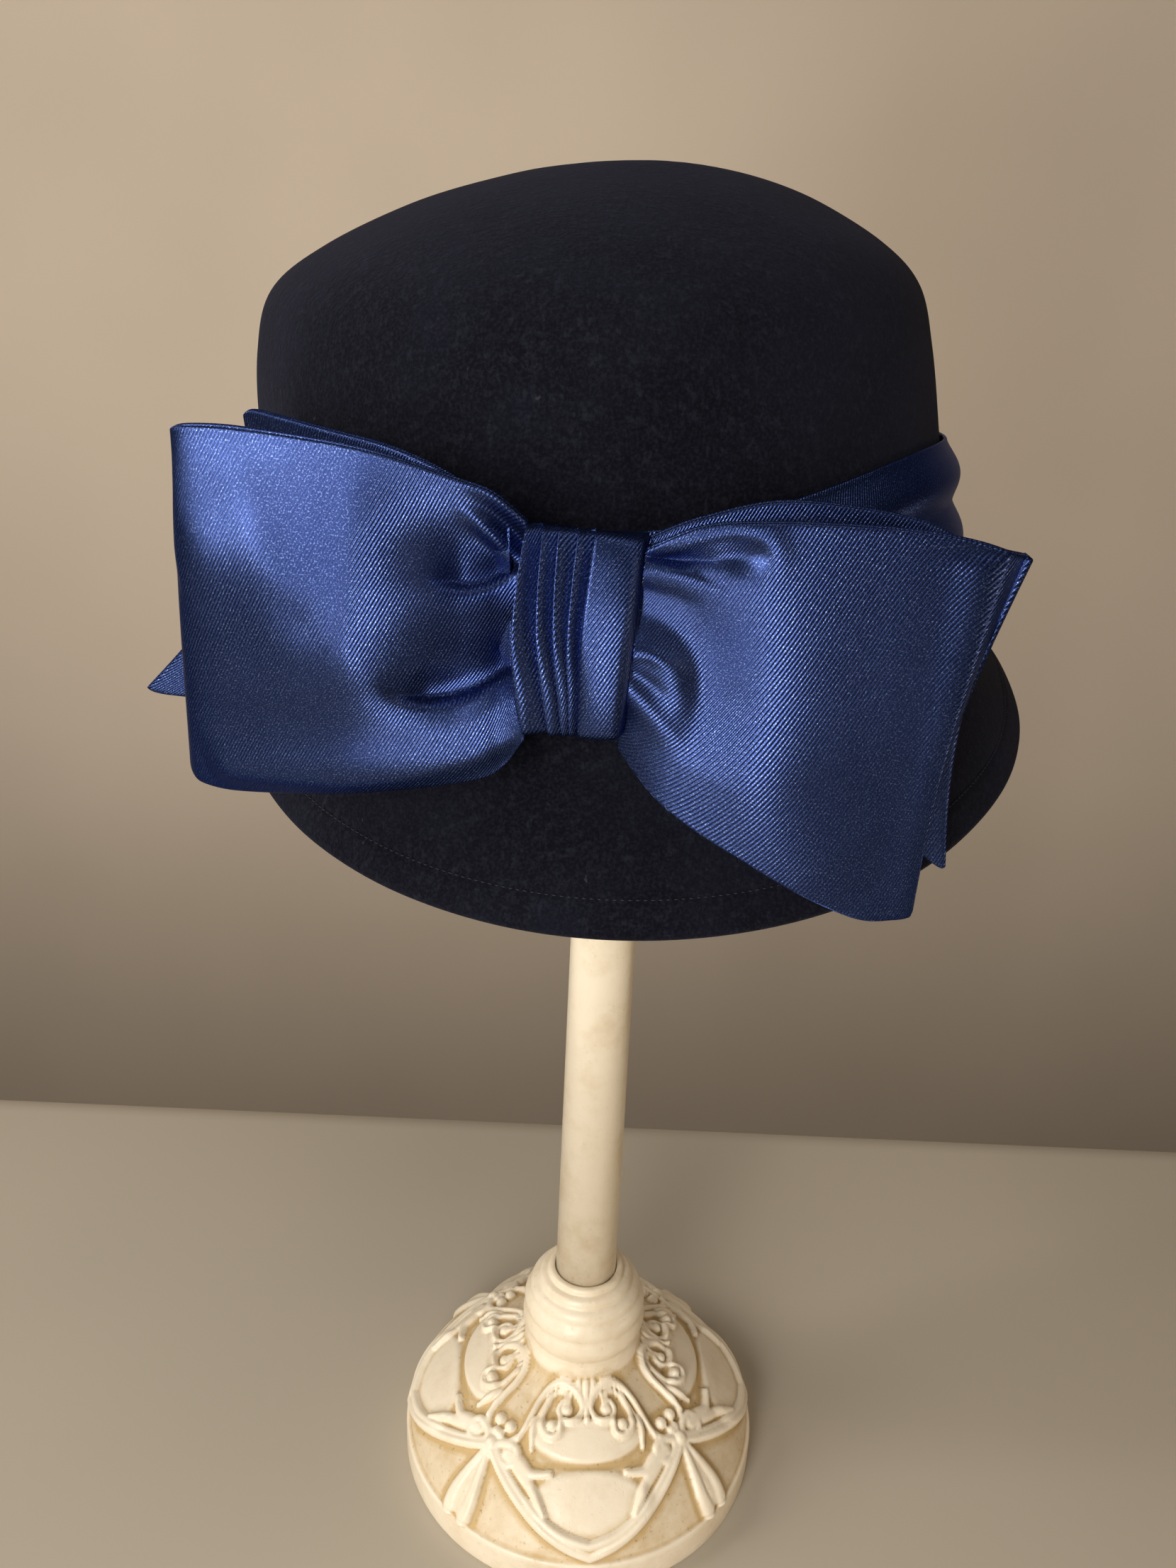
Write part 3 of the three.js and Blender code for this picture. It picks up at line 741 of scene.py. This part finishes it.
# Each fold: its line as (x, z) points, its height (below 0 for a hollow), its widths left and right of the
# line's direction, and the shares of its length over which it fades in and out.
FOLDS = {
    "loop_front_left": [
        ([(-21, 27), (-24.5, 31.2), (-28.5, 35.4), (-33, 39)], 1.8, 1.8, 1.2, 0, 0.7),
        ([(-20.5, 31), (-23.2, 34.5), (-27.5, 38.5), (-32, 41)], -1.2, 1.6, 1.6, 0, 0.6),
        ([(-22.5, 27), (-26.6, 24.9), (-30.3, 24.2), (-33.3, 24.7), (-36.3, 25.7), (-40, 28)],
         -1.9, 0.9, 3.6, 0, 0.5),
        ([(-22, 10.9), (-27.5, 11.3)], -0.9, 0.6, 1, 0, 0.6),
        ([(-22.5, 9), (-27, 6.6), (-32, 4.4), (-38, 3.4), (-43, 4.6), (-47.5, 9)], -2.6, 0.8, 5, 0, 0.35),
        ([(-22.5, 5), (-28, 1.5), (-34, -1), (-41, -1.4), (-48, 2)], 0.5, 2.4, 2.6, 0, 0.4),
        ([(-22.5, -2), (-30, -6), (-42, -9.5), (-56, -12), (-72, -13.5), (-86, -14)], 2.9, 4, 7, 0, 0.12),
        ([(-86, 32), (-76, 34.5), (-64, 36), (-52, 35)], 1.8, 9, 10.5, 0.1, 0.45),
        ([(-75, 50), (-71, 38), (-65, 28), (-57, 18), (-51.5, 9), (-50, 0)], 0.8, 5.5, 14, 0, 0.3),
    ],
    "loop_front_right": [
        ([(0, 30.4), (5, 31.9), (9.5, 33.8), (15, 34.9), (20, 33.8), (21.3, 31), (19, 28.3), (15, 27)],
         0.7, 2.8, 1.2, 0, 0.4),
        ([(-1, 29.6), (5, 29.2), (11, 29.5), (17, 30.3)], -1.6, 2.2, 0.9, 0, 0.5),
        ([(-1, 29), (4.2, 28), (10.8, 25.6), (16.5, 23.2)], 1.2, 0.8, 4.5, 0, 0.75),
        ([(-1, 24.5), (5, 23.4), (11, 21.4)], -0.4, 1.6, 2, 0, 0.5),
        ([(-3, 21), (2, 20.2), (6.5, 17.5), (10, 13), (11, 7.5), (10.2, 0), (7.5, -7)],
         -2.3, 9.5, 4, 0, 0.35),
        ([(-2, 14), (1, 13.9), (4.5, 12), (8, 9)], 0.8, 1.1, 1.4, 0, 0.6),
        ([(-3, 10.2), (0, 9), (3.5, 6.4), (7, 3)], -0.7, 1.7, 2, 0, 0.6),
        ([(-3.4, 8.3), (-0.8, 5.2), (2.4, 1.6), (6.2, -2.3), (9, -5)], 1, 1.9, 2.8, 0, 0.75),
        ([(20, 6), (21, -5), (24, -16), (31, -27), (40, -36)], 1, 12, 9, 0.35, 0.25),
        ([(58, 31), (57, 12), (54.5, -9), (52, -27), (51, -40)], 0.8, 3.5, 5, 0.05, 0.05),
    ],
    "loop_rear_left": [
        ([(-24, 30), (-40, 36), (-60, 40), (-80, 42)], 1.4, 2.5, 4, 0, 0.3),
    ],
    "loop_rear_right": [
        ([(1, 27), (12, 30), (28, 31), (44, 29)], 1.6, 2.5, 4, 0, 0.3),
    ],
}

# %% Loops as doubled satin
LOOP_THICK, PLY_GAP = 1.0, 1.5
FOLD_PART = 0.16  # the share of a loop on each side of its fold that gets closer rows
LOOP_ROWS, FOLD_ROWS, BACK_ROWS, LOOP_ACROSS = 90, 60, 60, 120

fold_trip = 1 - FOLD_PART * np.cos(np.linspace(0, np.pi, FOLD_ROWS + 2)[1:-1])
front_trip, back_trip = np.linspace(0, 1 - FOLD_PART, LOOP_ROWS), np.linspace(1 + FOLD_PART, 2, BACK_ROWS)
trip = np.concatenate([front_trip, fold_trip, back_trip])


def turned_end(name, share, across):
    """A strip turned back before the loop's fold: depth * (share of the strip)^1.25."""
    if name not in END_TURN:
        return 0
    wide_low, wide_high, depth = END_TURN[name]
    wide = blend(wide_low, wide_high, across)
    return depth * np.clip((share - 1 + wide) / wide, 0, 1) ** 1.25


def loop_surface(name, trip, across):
    """A straight line from lower to upper edge, with the front or back face moved out from it.

    trip runs from 0 to 1 at the fold, and on to 2 behind. A face stands out by sin(pi * across) to the loop's
    powers, and near the fold both close as the square root of 1 - share^closing. Only the front has folds.
    """
    rows, form = table(LOOP_COLUMNS, LOOPS[name]), LOOP_FORMS[name]
    last = len(rows) - 1
    place = last * np.where(trip < 1, trip, 2 - trip)

    def edge(axis):
        return blend(column(rows, "low_" + axis, place), column(rows, "top_" + axis, place), across)

    share = place / last
    arch = np.sin(np.pi * across)
    outer = np.sign(rows[-1]["top_x"])
    closing = np.sqrt(np.clip(1 - share ** form["closing"], 0, 1))
    drawn = form["pinch"] * arch * soft_step(0.35, 1, share) * outer
    full = blend(EDGE_FULLNESS, 1, arch ** blend(*form["puff"], across)) * closing
    x, z = edge("x") - drawn, edge("z")
    top_corner, low_corner = form["corners"]
    turned_in = quarter_round((share - 1 + CORNER_REACH) / CORNER_REACH)
    z = z + turned_in * (low_corner * (1 - across) - top_corner * across)
    front = column(rows, "front", place) * full + fold_height(x, z, FOLDS[name]) * closing
    front = front - turned_end(name, share, across) - dent_depth(x, z, DENTS.get(name, []))
    back = np.maximum(column(rows, "back", place) * full, (PLY_GAP - front) * closing)
    y = edge("y") + np.where(trip < 1, -front, back)
    return together(x, y, z)


for name in LOOPS:
    middle = loop_surface(name, trip[:, None], np.linspace(0, 1, LOOP_ACROSS)[None, :])
    loop = folded_satin(name, middle, LOOP_THICK)
    node = name.replace("loop_front", "bow_loop").replace("loop_rear", "bow_rear")
    finish_piece(loop, "satin", satin_material, node)

# %% [markdown]
# ## Knot
# A short strip of satin, laid in four narrow pleats and one wide panel, is wrapped round the middle of the
# bow. Each pleat starts with a folded edge that stands proud, and sinks towards the next one. A section is a
# row of such steps, carried up along the knot's front and rolled back at the top and the bottom.

# %% Knot
KNOT = table("height left right tilt", [
    (-2.2, -21.5, -3.6, -0.06),
    (6, -22.7, -2.4, -0.03),
    (16, -23, -1.2, 0),
    (26, -21.9, 0, -0.05),
    (35.2, -20.2, 1, -0.11),
])
# Where each pleat's folded edge lies, as a share of the knot's width at its foot and at its top.
PLEATS = [(0, 0), (0.265, 0.133), (0.402, 0.259), (0.47, 0.42), (0.538, 0.559), (1, 1)]
PLEAT_STEP = (2.0, 1.5, 1.3, 1.6, 0)
EDGE_ROUND = {"least": 0.5, "more": 1.8, "at": 0.26, "spread": 0.22}
KNOT_ARCH = {"from": 0.3, "up": 16, "down": 22}  # the front bows back above and below this height
KNOT_FRONT, KNOT_BACK, KNOT_HEIGHT = -121.6, -103, 37.4
KNOT_ROLL, KNOT_BACK_ROLL = (3.5, 1.5), 7  # how far the lower and the upper end roll back, and the back
KNOT_TOP_DROP = 8  # how much lower the knot is behind than in front, at its top

pleat_share = np.array([0, 0.012, 0.03, 0.06, 0.11, 0.18, 0.28, 0.4, 0.55, 0.7, 0.84, 0.94, 0.985, 1.0])


def knot_front(up, pleat, share):
    """Front face at height up (0 to 1): x along the pleats' edges, y back by the step that each has sunk.

    Each pleat's face starts at a quarter-round folded edge and sinks with its share to the power 0.8. The
    wide last panel swells in its middle instead, and is turned back at its right.
    """
    place = (len(KNOT) - 1) * up
    left, right = column(KNOT, "left", place), column(KNOT, "right", place)
    start, end = blend(*PLEATS[pleat], up), blend(*PLEATS[pleat + 1], up)
    width = (end - start) * (right - left)
    edge_round = EDGE_ROUND["least"] + EDGE_ROUND["more"] * bell(up - EDGE_ROUND["at"], EDGE_ROUND["spread"])
    rounded = 0.7 * edge_round * quarter_round(1 - share * width / edge_round)
    sunk = PLEAT_STEP[pleat] * share**0.8 + rounded
    if pleat == len(PLEAT_STEP) - 1:
        sunk = sunk + 0.3 + 0.5 * share - 0.65 * np.sin(np.pi * share**1.2) + 2.4 * soft_step(0.86, 1, share)
    x = blend(left, right, blend(start, end, share))
    above = up - KNOT_ARCH["from"]
    arch = KNOT_ARCH["up"] * np.maximum(above, 0) ** 2 + KNOT_ARCH["down"] * np.maximum(-above, 0) ** 2
    z = column(KNOT, "height", place) + column(KNOT, "tilt", place) * (x - left)
    return together(x, KNOT_FRONT + arch + sunk, z)


knot_up = 0.5 - 0.5 * np.cos(np.linspace(0, np.pi, 90)[:, None])
pleats = [knot_front(knot_up, pleat, pleat_share[None, :]) for pleat in range(len(PLEAT_STEP))]
front = np.concatenate(pleats, axis=1)
roll = np.where(knot_up < 0.5, *KNOT_ROLL)
rolled = quarter_round((np.abs(knot_up - 0.5) - 0.5) * KNOT_HEIGHT / roll + 1)
front[..., 1] += roll * rolled
ends = front[:, [0, -1]]
backs = ends.copy()
backs[..., 1] = KNOT_BACK - KNOT_BACK_ROLL * rolled
backs[..., 2] -= KNOT_TOP_DROP * soft_step(0.6, 1, knot_up)
sides = (backs + ends) / 2
knot_rings = np.concatenate([backs[:, :1], sides[:, :1], front, sides[:, 1:], backs[:, 1:]], axis=1)
knot_rings, knot_uv = with_ends(knot_rings, cloth_lengths(knot_rings)[..., ::-1])
knot = grid_mesh("knot", on_stand(knot_rings), uv=knot_uv)
finish_piece(knot, "satin", satin_material, "bow_knot")

# %% [markdown]
# ## Stand
# The stand is cast in resin, then painted cream with a darker wash that stays in its hollows. On the carving
# the wash is made darker still at the foot of each stroke, which is painted shade. Base, post and cap are
# turned profiles, so each is a curve swept round the axis.

# %% Resin finish
CREAM, OCHRE_WASH, BROWN_SPECK = (0.90, 0.81, 0.65, 1), (0.56, 0.40, 0.19, 1), (0.30, 0.19, 0.08, 1)


def resin_finish(name, carved=False):
    resin = Finish(name, Specular_IOR_Level=0.45)
    at = resin.place()
    cloud = resin.noise(at, 70, 4, 0.6)
    speck = resin.noise(at, 700, 3, 0.6).between(0.6, 0.72)
    wash = cloud.between(0.42, 0.72) * 0.35
    if carved:
        height = resin.node("ShaderNodeAttribute", {"attribute_name": "carving"}, out="Fac")
        # The wash gathers where the carving is low. The carving attribute also holds painted shade at the
        # foot of each stroke.
        hollow_wash_and_shade = 1.0 - (height + resin.noise(at, 260, 3, 0.6) * 1.2).between(-2.4, 1.3)
        wash = wash * 0.6 + hollow_wash_and_shade * 1.15
    base = resin.mix(wash, CREAM, OCHRE_WASH)
    resin.feed(Base_Color=resin.mix(speck * wash * 0.8, base, BROWN_SPECK))
    resin.feed(Roughness=wash * 0.25 + 0.32)
    resin.feed(Normal=resin.bump(resin.noise(at, 350, 3) + speck * -0.6, 0.3, 0.0004))
    return resin.material


smooth_resin = resin_finish("cream_resin")
carved_resin = resin_finish("carved_cream_resin", carved=True)

# %% Turned pieces
SIDES = 160
base_high = box_mm("stand_base")[1]
post_low, post_high = box_mm("stand_post")
cap_low, cap_high = box_mm("stand_cap")
BASE_RADIUS, FOOT, RISE, FULLNESS = base_high[0], 9, 37, 1.5


def swept(radius, height, around):
    """Rings of points round the axis, from the front: (radius * sin, -radius * cos, height)."""
    return together(radius * np.sin(around), -radius * np.cos(around), height)


def turned(name, profile):
    """A profile of (radius, height) points swept round the axis, its ends on the axis."""
    profile = np.array(profile, float)
    return grid_mesh(name, swept(profile[:, :1], profile[:, 1:], full_turn(SIDES)[None, :]))


def arc(middle, size, start, end, steps):
    """Points of an elliptical arc: middle + size * (cos t, sin t)."""
    t = np.linspace(start, end, steps)
    return list(zip(middle[0] + size[0] * np.cos(t), middle[1] + size[1] * np.sin(t)))


# %% Profile of the base
NECK = [(27, 38.6), (23.4, 40.8), (21, 43.6), (19.8, 46.8), (19.4, 49.8)]
COLLAR = [(19.7, 50.3), (20.3, 58.8), (18.9, 65), (16.1, 69.5), (13, 72.4), (10.6, 74.3)]
RING_SWELL, SOCKET, SOCKET_DEPTH, TOP_OPENING = 1.1, 7.35, 9.9, 10.6
dome_turn = np.linspace(0, np.arccos((NECK[0][0] / BASE_RADIUS) ** (FULLNESS / 2)), 96)[:-1]
dome_radius = BASE_RADIUS * np.cos(dome_turn) ** (2 / FULLNESS)
dome_height = FOOT + RISE * np.sin(dome_turn) ** (2 / FULLNESS)
dome = [*zip(dome_radius, dome_height), *zip(*curve(NECK, np.linspace(0, len(NECK) - 1, 16)))]


def swollen(corners, swell, steps):
    """Soft rings between corner points: each side bulges outwards by swell * sin(pi t)."""
    corners = np.array(corners, float)
    side = np.diff(corners, axis=0)[:, None]
    t = np.linspace(0, 1, steps, endpoint=False)[None, :, None]
    outward = unit(together(side[..., 1], -side[..., 0]))
    return (corners[:-1, None] + side * t + outward * swell * np.sin(np.pi * t)).reshape(-1, 2)


rings = [*map(tuple, swollen(COLLAR, RING_SWELL, 9)), COLLAR[-1]]
socket_top = base_high[2]
foot_edge = [(0, 0), (BASE_RADIUS - 0.8, 0), (BASE_RADIUS - 0.2, 0.3), (BASE_RADIUS, 1), (BASE_RADIUS, 5)]
socket_floor = socket_top - SOCKET_DEPTH
socket = [(TOP_OPENING, socket_top), (SOCKET, socket_top), (SOCKET, socket_floor), (0, socket_floor)]
base_profile = [*foot_edge, *dome, *rings, *socket]

# %% [markdown]
# ## Carving on the base
# Four panels go round the dome. Each has two C-scrolls that meet in a small palmette, plain swellings below
# them, and a double ribbon that hangs in a swag from one bow to the next. Half a panel is enough to draw,
# because the rest mirrors it. Each stroke is a round ridge about a curve, and the highest one counts.

# %% Strokes of the carving
# Each stroke: its points as (degrees from the panel's middle, mm up the dome), its half width at the start
# and at the end, and its height.
STROKES = [
    ([(2, 47.5), (4.5, 50), (11, 52.6), (21.5, 53.6), (30, 51), (33.5, 46.3), (34, 41), (34.3, 36),
      (35, 32.5)], 1.5, 1, 1.9),
    ([(13, 50.3), (21, 50.8), (27.5, 47.8), (29.8, 43), (30.5, 38)], 1, 0.7, 1.2),
    ([(1.8, 49), (3.5, 45.5), (8, 42.9), (15, 42.6), (19, 45.3), (17, 48.1), (12.5, 48.4)], 1.2, 0.9, 1.7),
    ([(13.2, 45.7), (13.8, 45.7)], 1.9, 1.9, 2.2),
    ([(27.5, 48), (27.8, 42.5), (25, 38.3), (19.5, 36.6), (15.3, 38.3), (15.8, 41.3)], 1.2, 0.9, 1.7),
    ([(20, 39.8), (20.4, 39.8)], 1.7, 1.7, 2.2),
    ([(0, 43.5), (0, 49), (0, 54)], 1, 1.4, 1.8),
    ([(1, 48), (5, 52.5), (6.5, 54.5)], 0.8, 1.1, 1.2),
    ([(31, 40), (29, 35), (27, 31.5)], 1.3, 0.8, 1.4),
    ([(34.5, 34), (38, 30.5), (41, 29.5)], 1.1, 1.4, 1.6),
    ([(45, 27), (45.4, 27)], 2.6, 2.6, 3),
    ([(41.3, 34.2), (41.7, 34.2)], 1.9, 1.9, 2.3),
    ([(43.6, 30.6), (44, 30.6)], 1.7, 1.7, 2.2),
    ([(43, 27.5), (38, 29.8), (33, 29.4), (31.5, 26), (36, 24), (43, 26)], 1.5, 1.5, 2),
    ([(35.5, 27.3), (29, 26.2), (23.5, 24.8), (16, 26.4)], 3, 0.9, 2),
    ([(31, 26.2), (25, 22.8), (20, 19.3), (15.5, 14.8)], 3, 0.8, 1.9),
    ([(44.3, 25), (42.6, 17), (41.6, 9.5), (42, 4.2)], 1.2, 2.9, 2.1),
    ([(45, 24), (44.5, 14), (44.2, 5)], 1, 2.2, 1.5),
    ([(43.8, 25.5), (34.5, 21), (25.5, 16.3), (17, 11.6), (8.5, 7.4), (0, 4.4)], 1.4, 1.7, 2.3),
    ([(44, 28), (35.5, 23.6), (26.5, 19), (18, 14.4), (9.5, 10.3), (0, 7.6)], 1.2, 1.5, 1.9),
]
CARVED_MIDDLE, HALF_PANEL = 4.5, 45.0  # degrees: middle of the front panel, half of one panel
STROKE_SPREAD = 1.06  # the paint on the casting makes every stroke a little wider
GROUND_DEPTH = 0.9  # how far the ground lies below the rim of the foot
SWELLINGS = [(0, 37.0, 36, 7.4, 1.5), (0, 17.6, 25, 12.2, 1.2)]  # middle, half sizes (degrees, mm), height


def carved(angle, up, radius):
    """Relief over the dome: the plain ground, two oval swellings, and the highest stroke at each point.

    Angles fold about the panels' middles, so half a panel serves for all. A stroke's section is
    height * (1.12 - (distance / width)^2)^0.7, and at most its height.
    """
    panel = np.abs((np.degrees(angle) - CARVED_MIDDLE + HALF_PANEL) % (2 * HALF_PANEL) - HALF_PANEL)
    millimetres = np.radians(radius)
    ground = -GROUND_DEPTH * soft_step(1.6, 2.6, up)
    for middle, height, wide, tall, size in SWELLINGS:
        oval = np.sqrt(((panel - middle) / wide) ** 2 + ((up - height) / tall) ** 2)
        ground = ground + size * (1 - soft_step(0.78, 1.0, oval))
    strokes = np.zeros_like(ground)
    for points, start_width, end_width, height in STROKES:
        place = np.linspace(0, len(points) - 1, 12 * (len(points) - 1) + 1)
        line_angle, line_up = curve(points, place)
        across = (panel[..., None] - line_angle) * millimetres[..., None]
        away = across**2 + (up[..., None] - line_up) ** 2
        nearest = away.argmin(-1)
        width = STROKE_SPREAD * (start_width + (end_width - start_width) * nearest / (len(place) - 1))
        strokes = np.maximum(strokes, height * np.clip(1.12 - away.min(-1) / width**2, 0, 1) ** 0.7)
    return ground + strokes


# %% Base
CARVED_SIDES = 600
CARVING_ENDS = (54, 57)  # mm up the dome, where the relief fades out below the collar
FOOT_SHADE_SPREAD = 2.0  # how strongly painted shade darkens the foot of each stroke, over the real wash
profile = np.array(base_profile, float)
around = full_turn(CARVED_SIDES, -np.pi)[None, :]
radius, height = profile[:, :1] + 0 * around, profile[:, 1:] + 0 * around
first, last = len(foot_edge), len(foot_edge) + len(dome)
step = np.linalg.norm(np.diff(profile[first:last], axis=0), axis=1)
up_dome = np.append(0, np.cumsum(step))[:, None] + 0 * around
relief = np.zeros_like(radius)
relief[first:last] = carved(around + 0 * up_dome, up_dome, radius[first:last])
relief[first:last] *= 1 - soft_step(*CARVING_ENDS, up_dome)
# The carving minus its blurred copy is below 0 at the foot of each stroke. Adding it darkens the wash there
# as painted shade.
nearby = sum(np.roll(relief, (i, j), (0, 1)) for i in (-4, 0, 4) for j in (-4, 0, 4)) / 9
carving_and_painted_shade = relief + FOOT_SHADE_SPREAD * (relief - nearby)
slope = unit(np.gradient(profile[first:last], axis=0))
radius[first:last] += relief[first:last] * slope[:, 1:]
height[first:last] -= relief[first:last] * slope[:, :1]
base = grid_mesh("base", swept(radius, height, around), carving=carving_and_painted_shade)
finish_piece(base, "resin", carved_resin, "stand_base")

# %% Post and cap
POST_FOOT, POST_TOP_RADIUS, POST_RADIUS = post_low[2] + 10, 9.3, 10.3
post = turned("post", [(0, post_low[2]), (7, post_low[2]), (7, POST_FOOT), (POST_RADIUS, POST_FOOT),
                       (POST_TOP_RADIUS, post_high[2]), (0, post_high[2])])
finish_piece(post, "resin", smooth_resin, "stand_post")

CAP_RADIUS, CAP_RISE = cap_high[0], 15
cap_rim = cap_high[2] - CAP_RISE
under = cap_low[2]
dome = arc((0, cap_rim), (CAP_RADIUS, CAP_RISE), 0, np.pi / 2, 40)
rim = arc((CAP_RADIUS - 6, cap_rim), (6, cap_rim - under), -np.pi / 2, 0, 14)
cap = turned("cap", [(0, under + 12.35), (9.7, under + 12.35), (9.7, under), *rim[:-1], *dome])
finish_piece(cap, "resin", smooth_resin, "stand_cap")

# %% [markdown]
# ## Floor, wall and light
# The stand is on a pale table with a plain wall behind it. A tall narrow soft box left of the camera draws
# one long highlight down each fold of the satin. A larger one far to the left rounds the crown, a wide one
# overhead opens the shadows, and a small warm one low on the right is what the room throws back.

# %% Table and wall
def plain_finish(name, colour):
    plain = Finish(name, Roughness=0.9, Specular_IOR_Level=0.1)
    dark = tuple(0.93 * part for part in colour[:3]) + (1,)
    plain.feed(Base_Color=plain.mix(plain.noise(plain.place(), 3).between(0.3, 0.7), dark, colour))
    return plain.material


def long_sheet(name, profile, half_width, finish):
    """A profile of (y, z) points, in metres, drawn out sideways."""
    profile = np.array(profile) / MM
    x = np.array([-1, 1]) * half_width / MM
    sheet = grid_mesh(name, together(x, profile[:, :1], profile[:, 1:]), wrap_columns=False)
    sheet.data.materials.append(finish)


TABLE_BACK, TABLE_ROUND, WALL = 0.165, 0.025, 0.85
table_edge = arc((TABLE_BACK, -TABLE_ROUND), (TABLE_ROUND, TABLE_ROUND), np.pi / 2, 0, 12)
table_profile = [(-1.4, 0), (0.1, 0), *table_edge, (TABLE_BACK + TABLE_ROUND, -0.5)]
long_sheet("floor", table_profile, 1.6, plain_finish("pale_table", (0.50, 0.45, 0.37, 1)))
wall_profile = [(WALL, -1.6), (WALL, 0.4), (WALL, 2.4)]
long_sheet("wall", wall_profile, 2.6, plain_finish("pale_wall", (0.85, 0.73, 0.60, 1)))

# %% Lights
LOOKED_AT = Vector((0, 0, 0.33))


def soft_light(name, azimuth, elevation, distance, size, power, colour):
    """A soft box of size (wide, tall) that looks at the hat from a direction in degrees, 0 at the front."""
    a, e = np.radians(azimuth), np.radians(elevation)
    away = Vector((np.sin(a) * np.cos(e), -np.cos(a) * np.cos(e), np.sin(e)))
    lamp = add_object(name, bpy.data.lights.new(name, "AREA"))
    lamp.data.shape = "RECTANGLE"
    lamp.data.size, lamp.data.size_y = size
    lamp.data.energy, lamp.data.color = power, colour
    lamp.location = LOOKED_AT + distance * away
    lamp.rotation_mode = "QUATERNION"
    lamp.rotation_quaternion = (-away).to_track_quat("-Z", "Y")


soft_light("tall_box", -20, 2, 0.75, (0.24, 0.62), 5.5, (1.0, 0.95, 0.88))
soft_light("side_box", -78, 25, 1.2, (0.5, 0.8), 8, (1.0, 0.93, 0.84))
soft_light("overhead", 25, 62, 1.3, (1.1, 1.1), 3.9, (1.0, 0.92, 0.82))
soft_light("warm_card", 72, -12, 0.8, (0.3, 0.3), 1.0, (1.0, 0.74, 0.48))

world = bpy.data.worlds.new("studio")
world.use_nodes = True
sky = world.node_tree.nodes["Background"].inputs
sky["Color"].default_value, sky["Strength"].default_value = (0.62, 0.58, 0.53, 1), 0.06
bpy.context.scene.world = world
bpy.context.scene.view_settings.view_transform = "Standard"
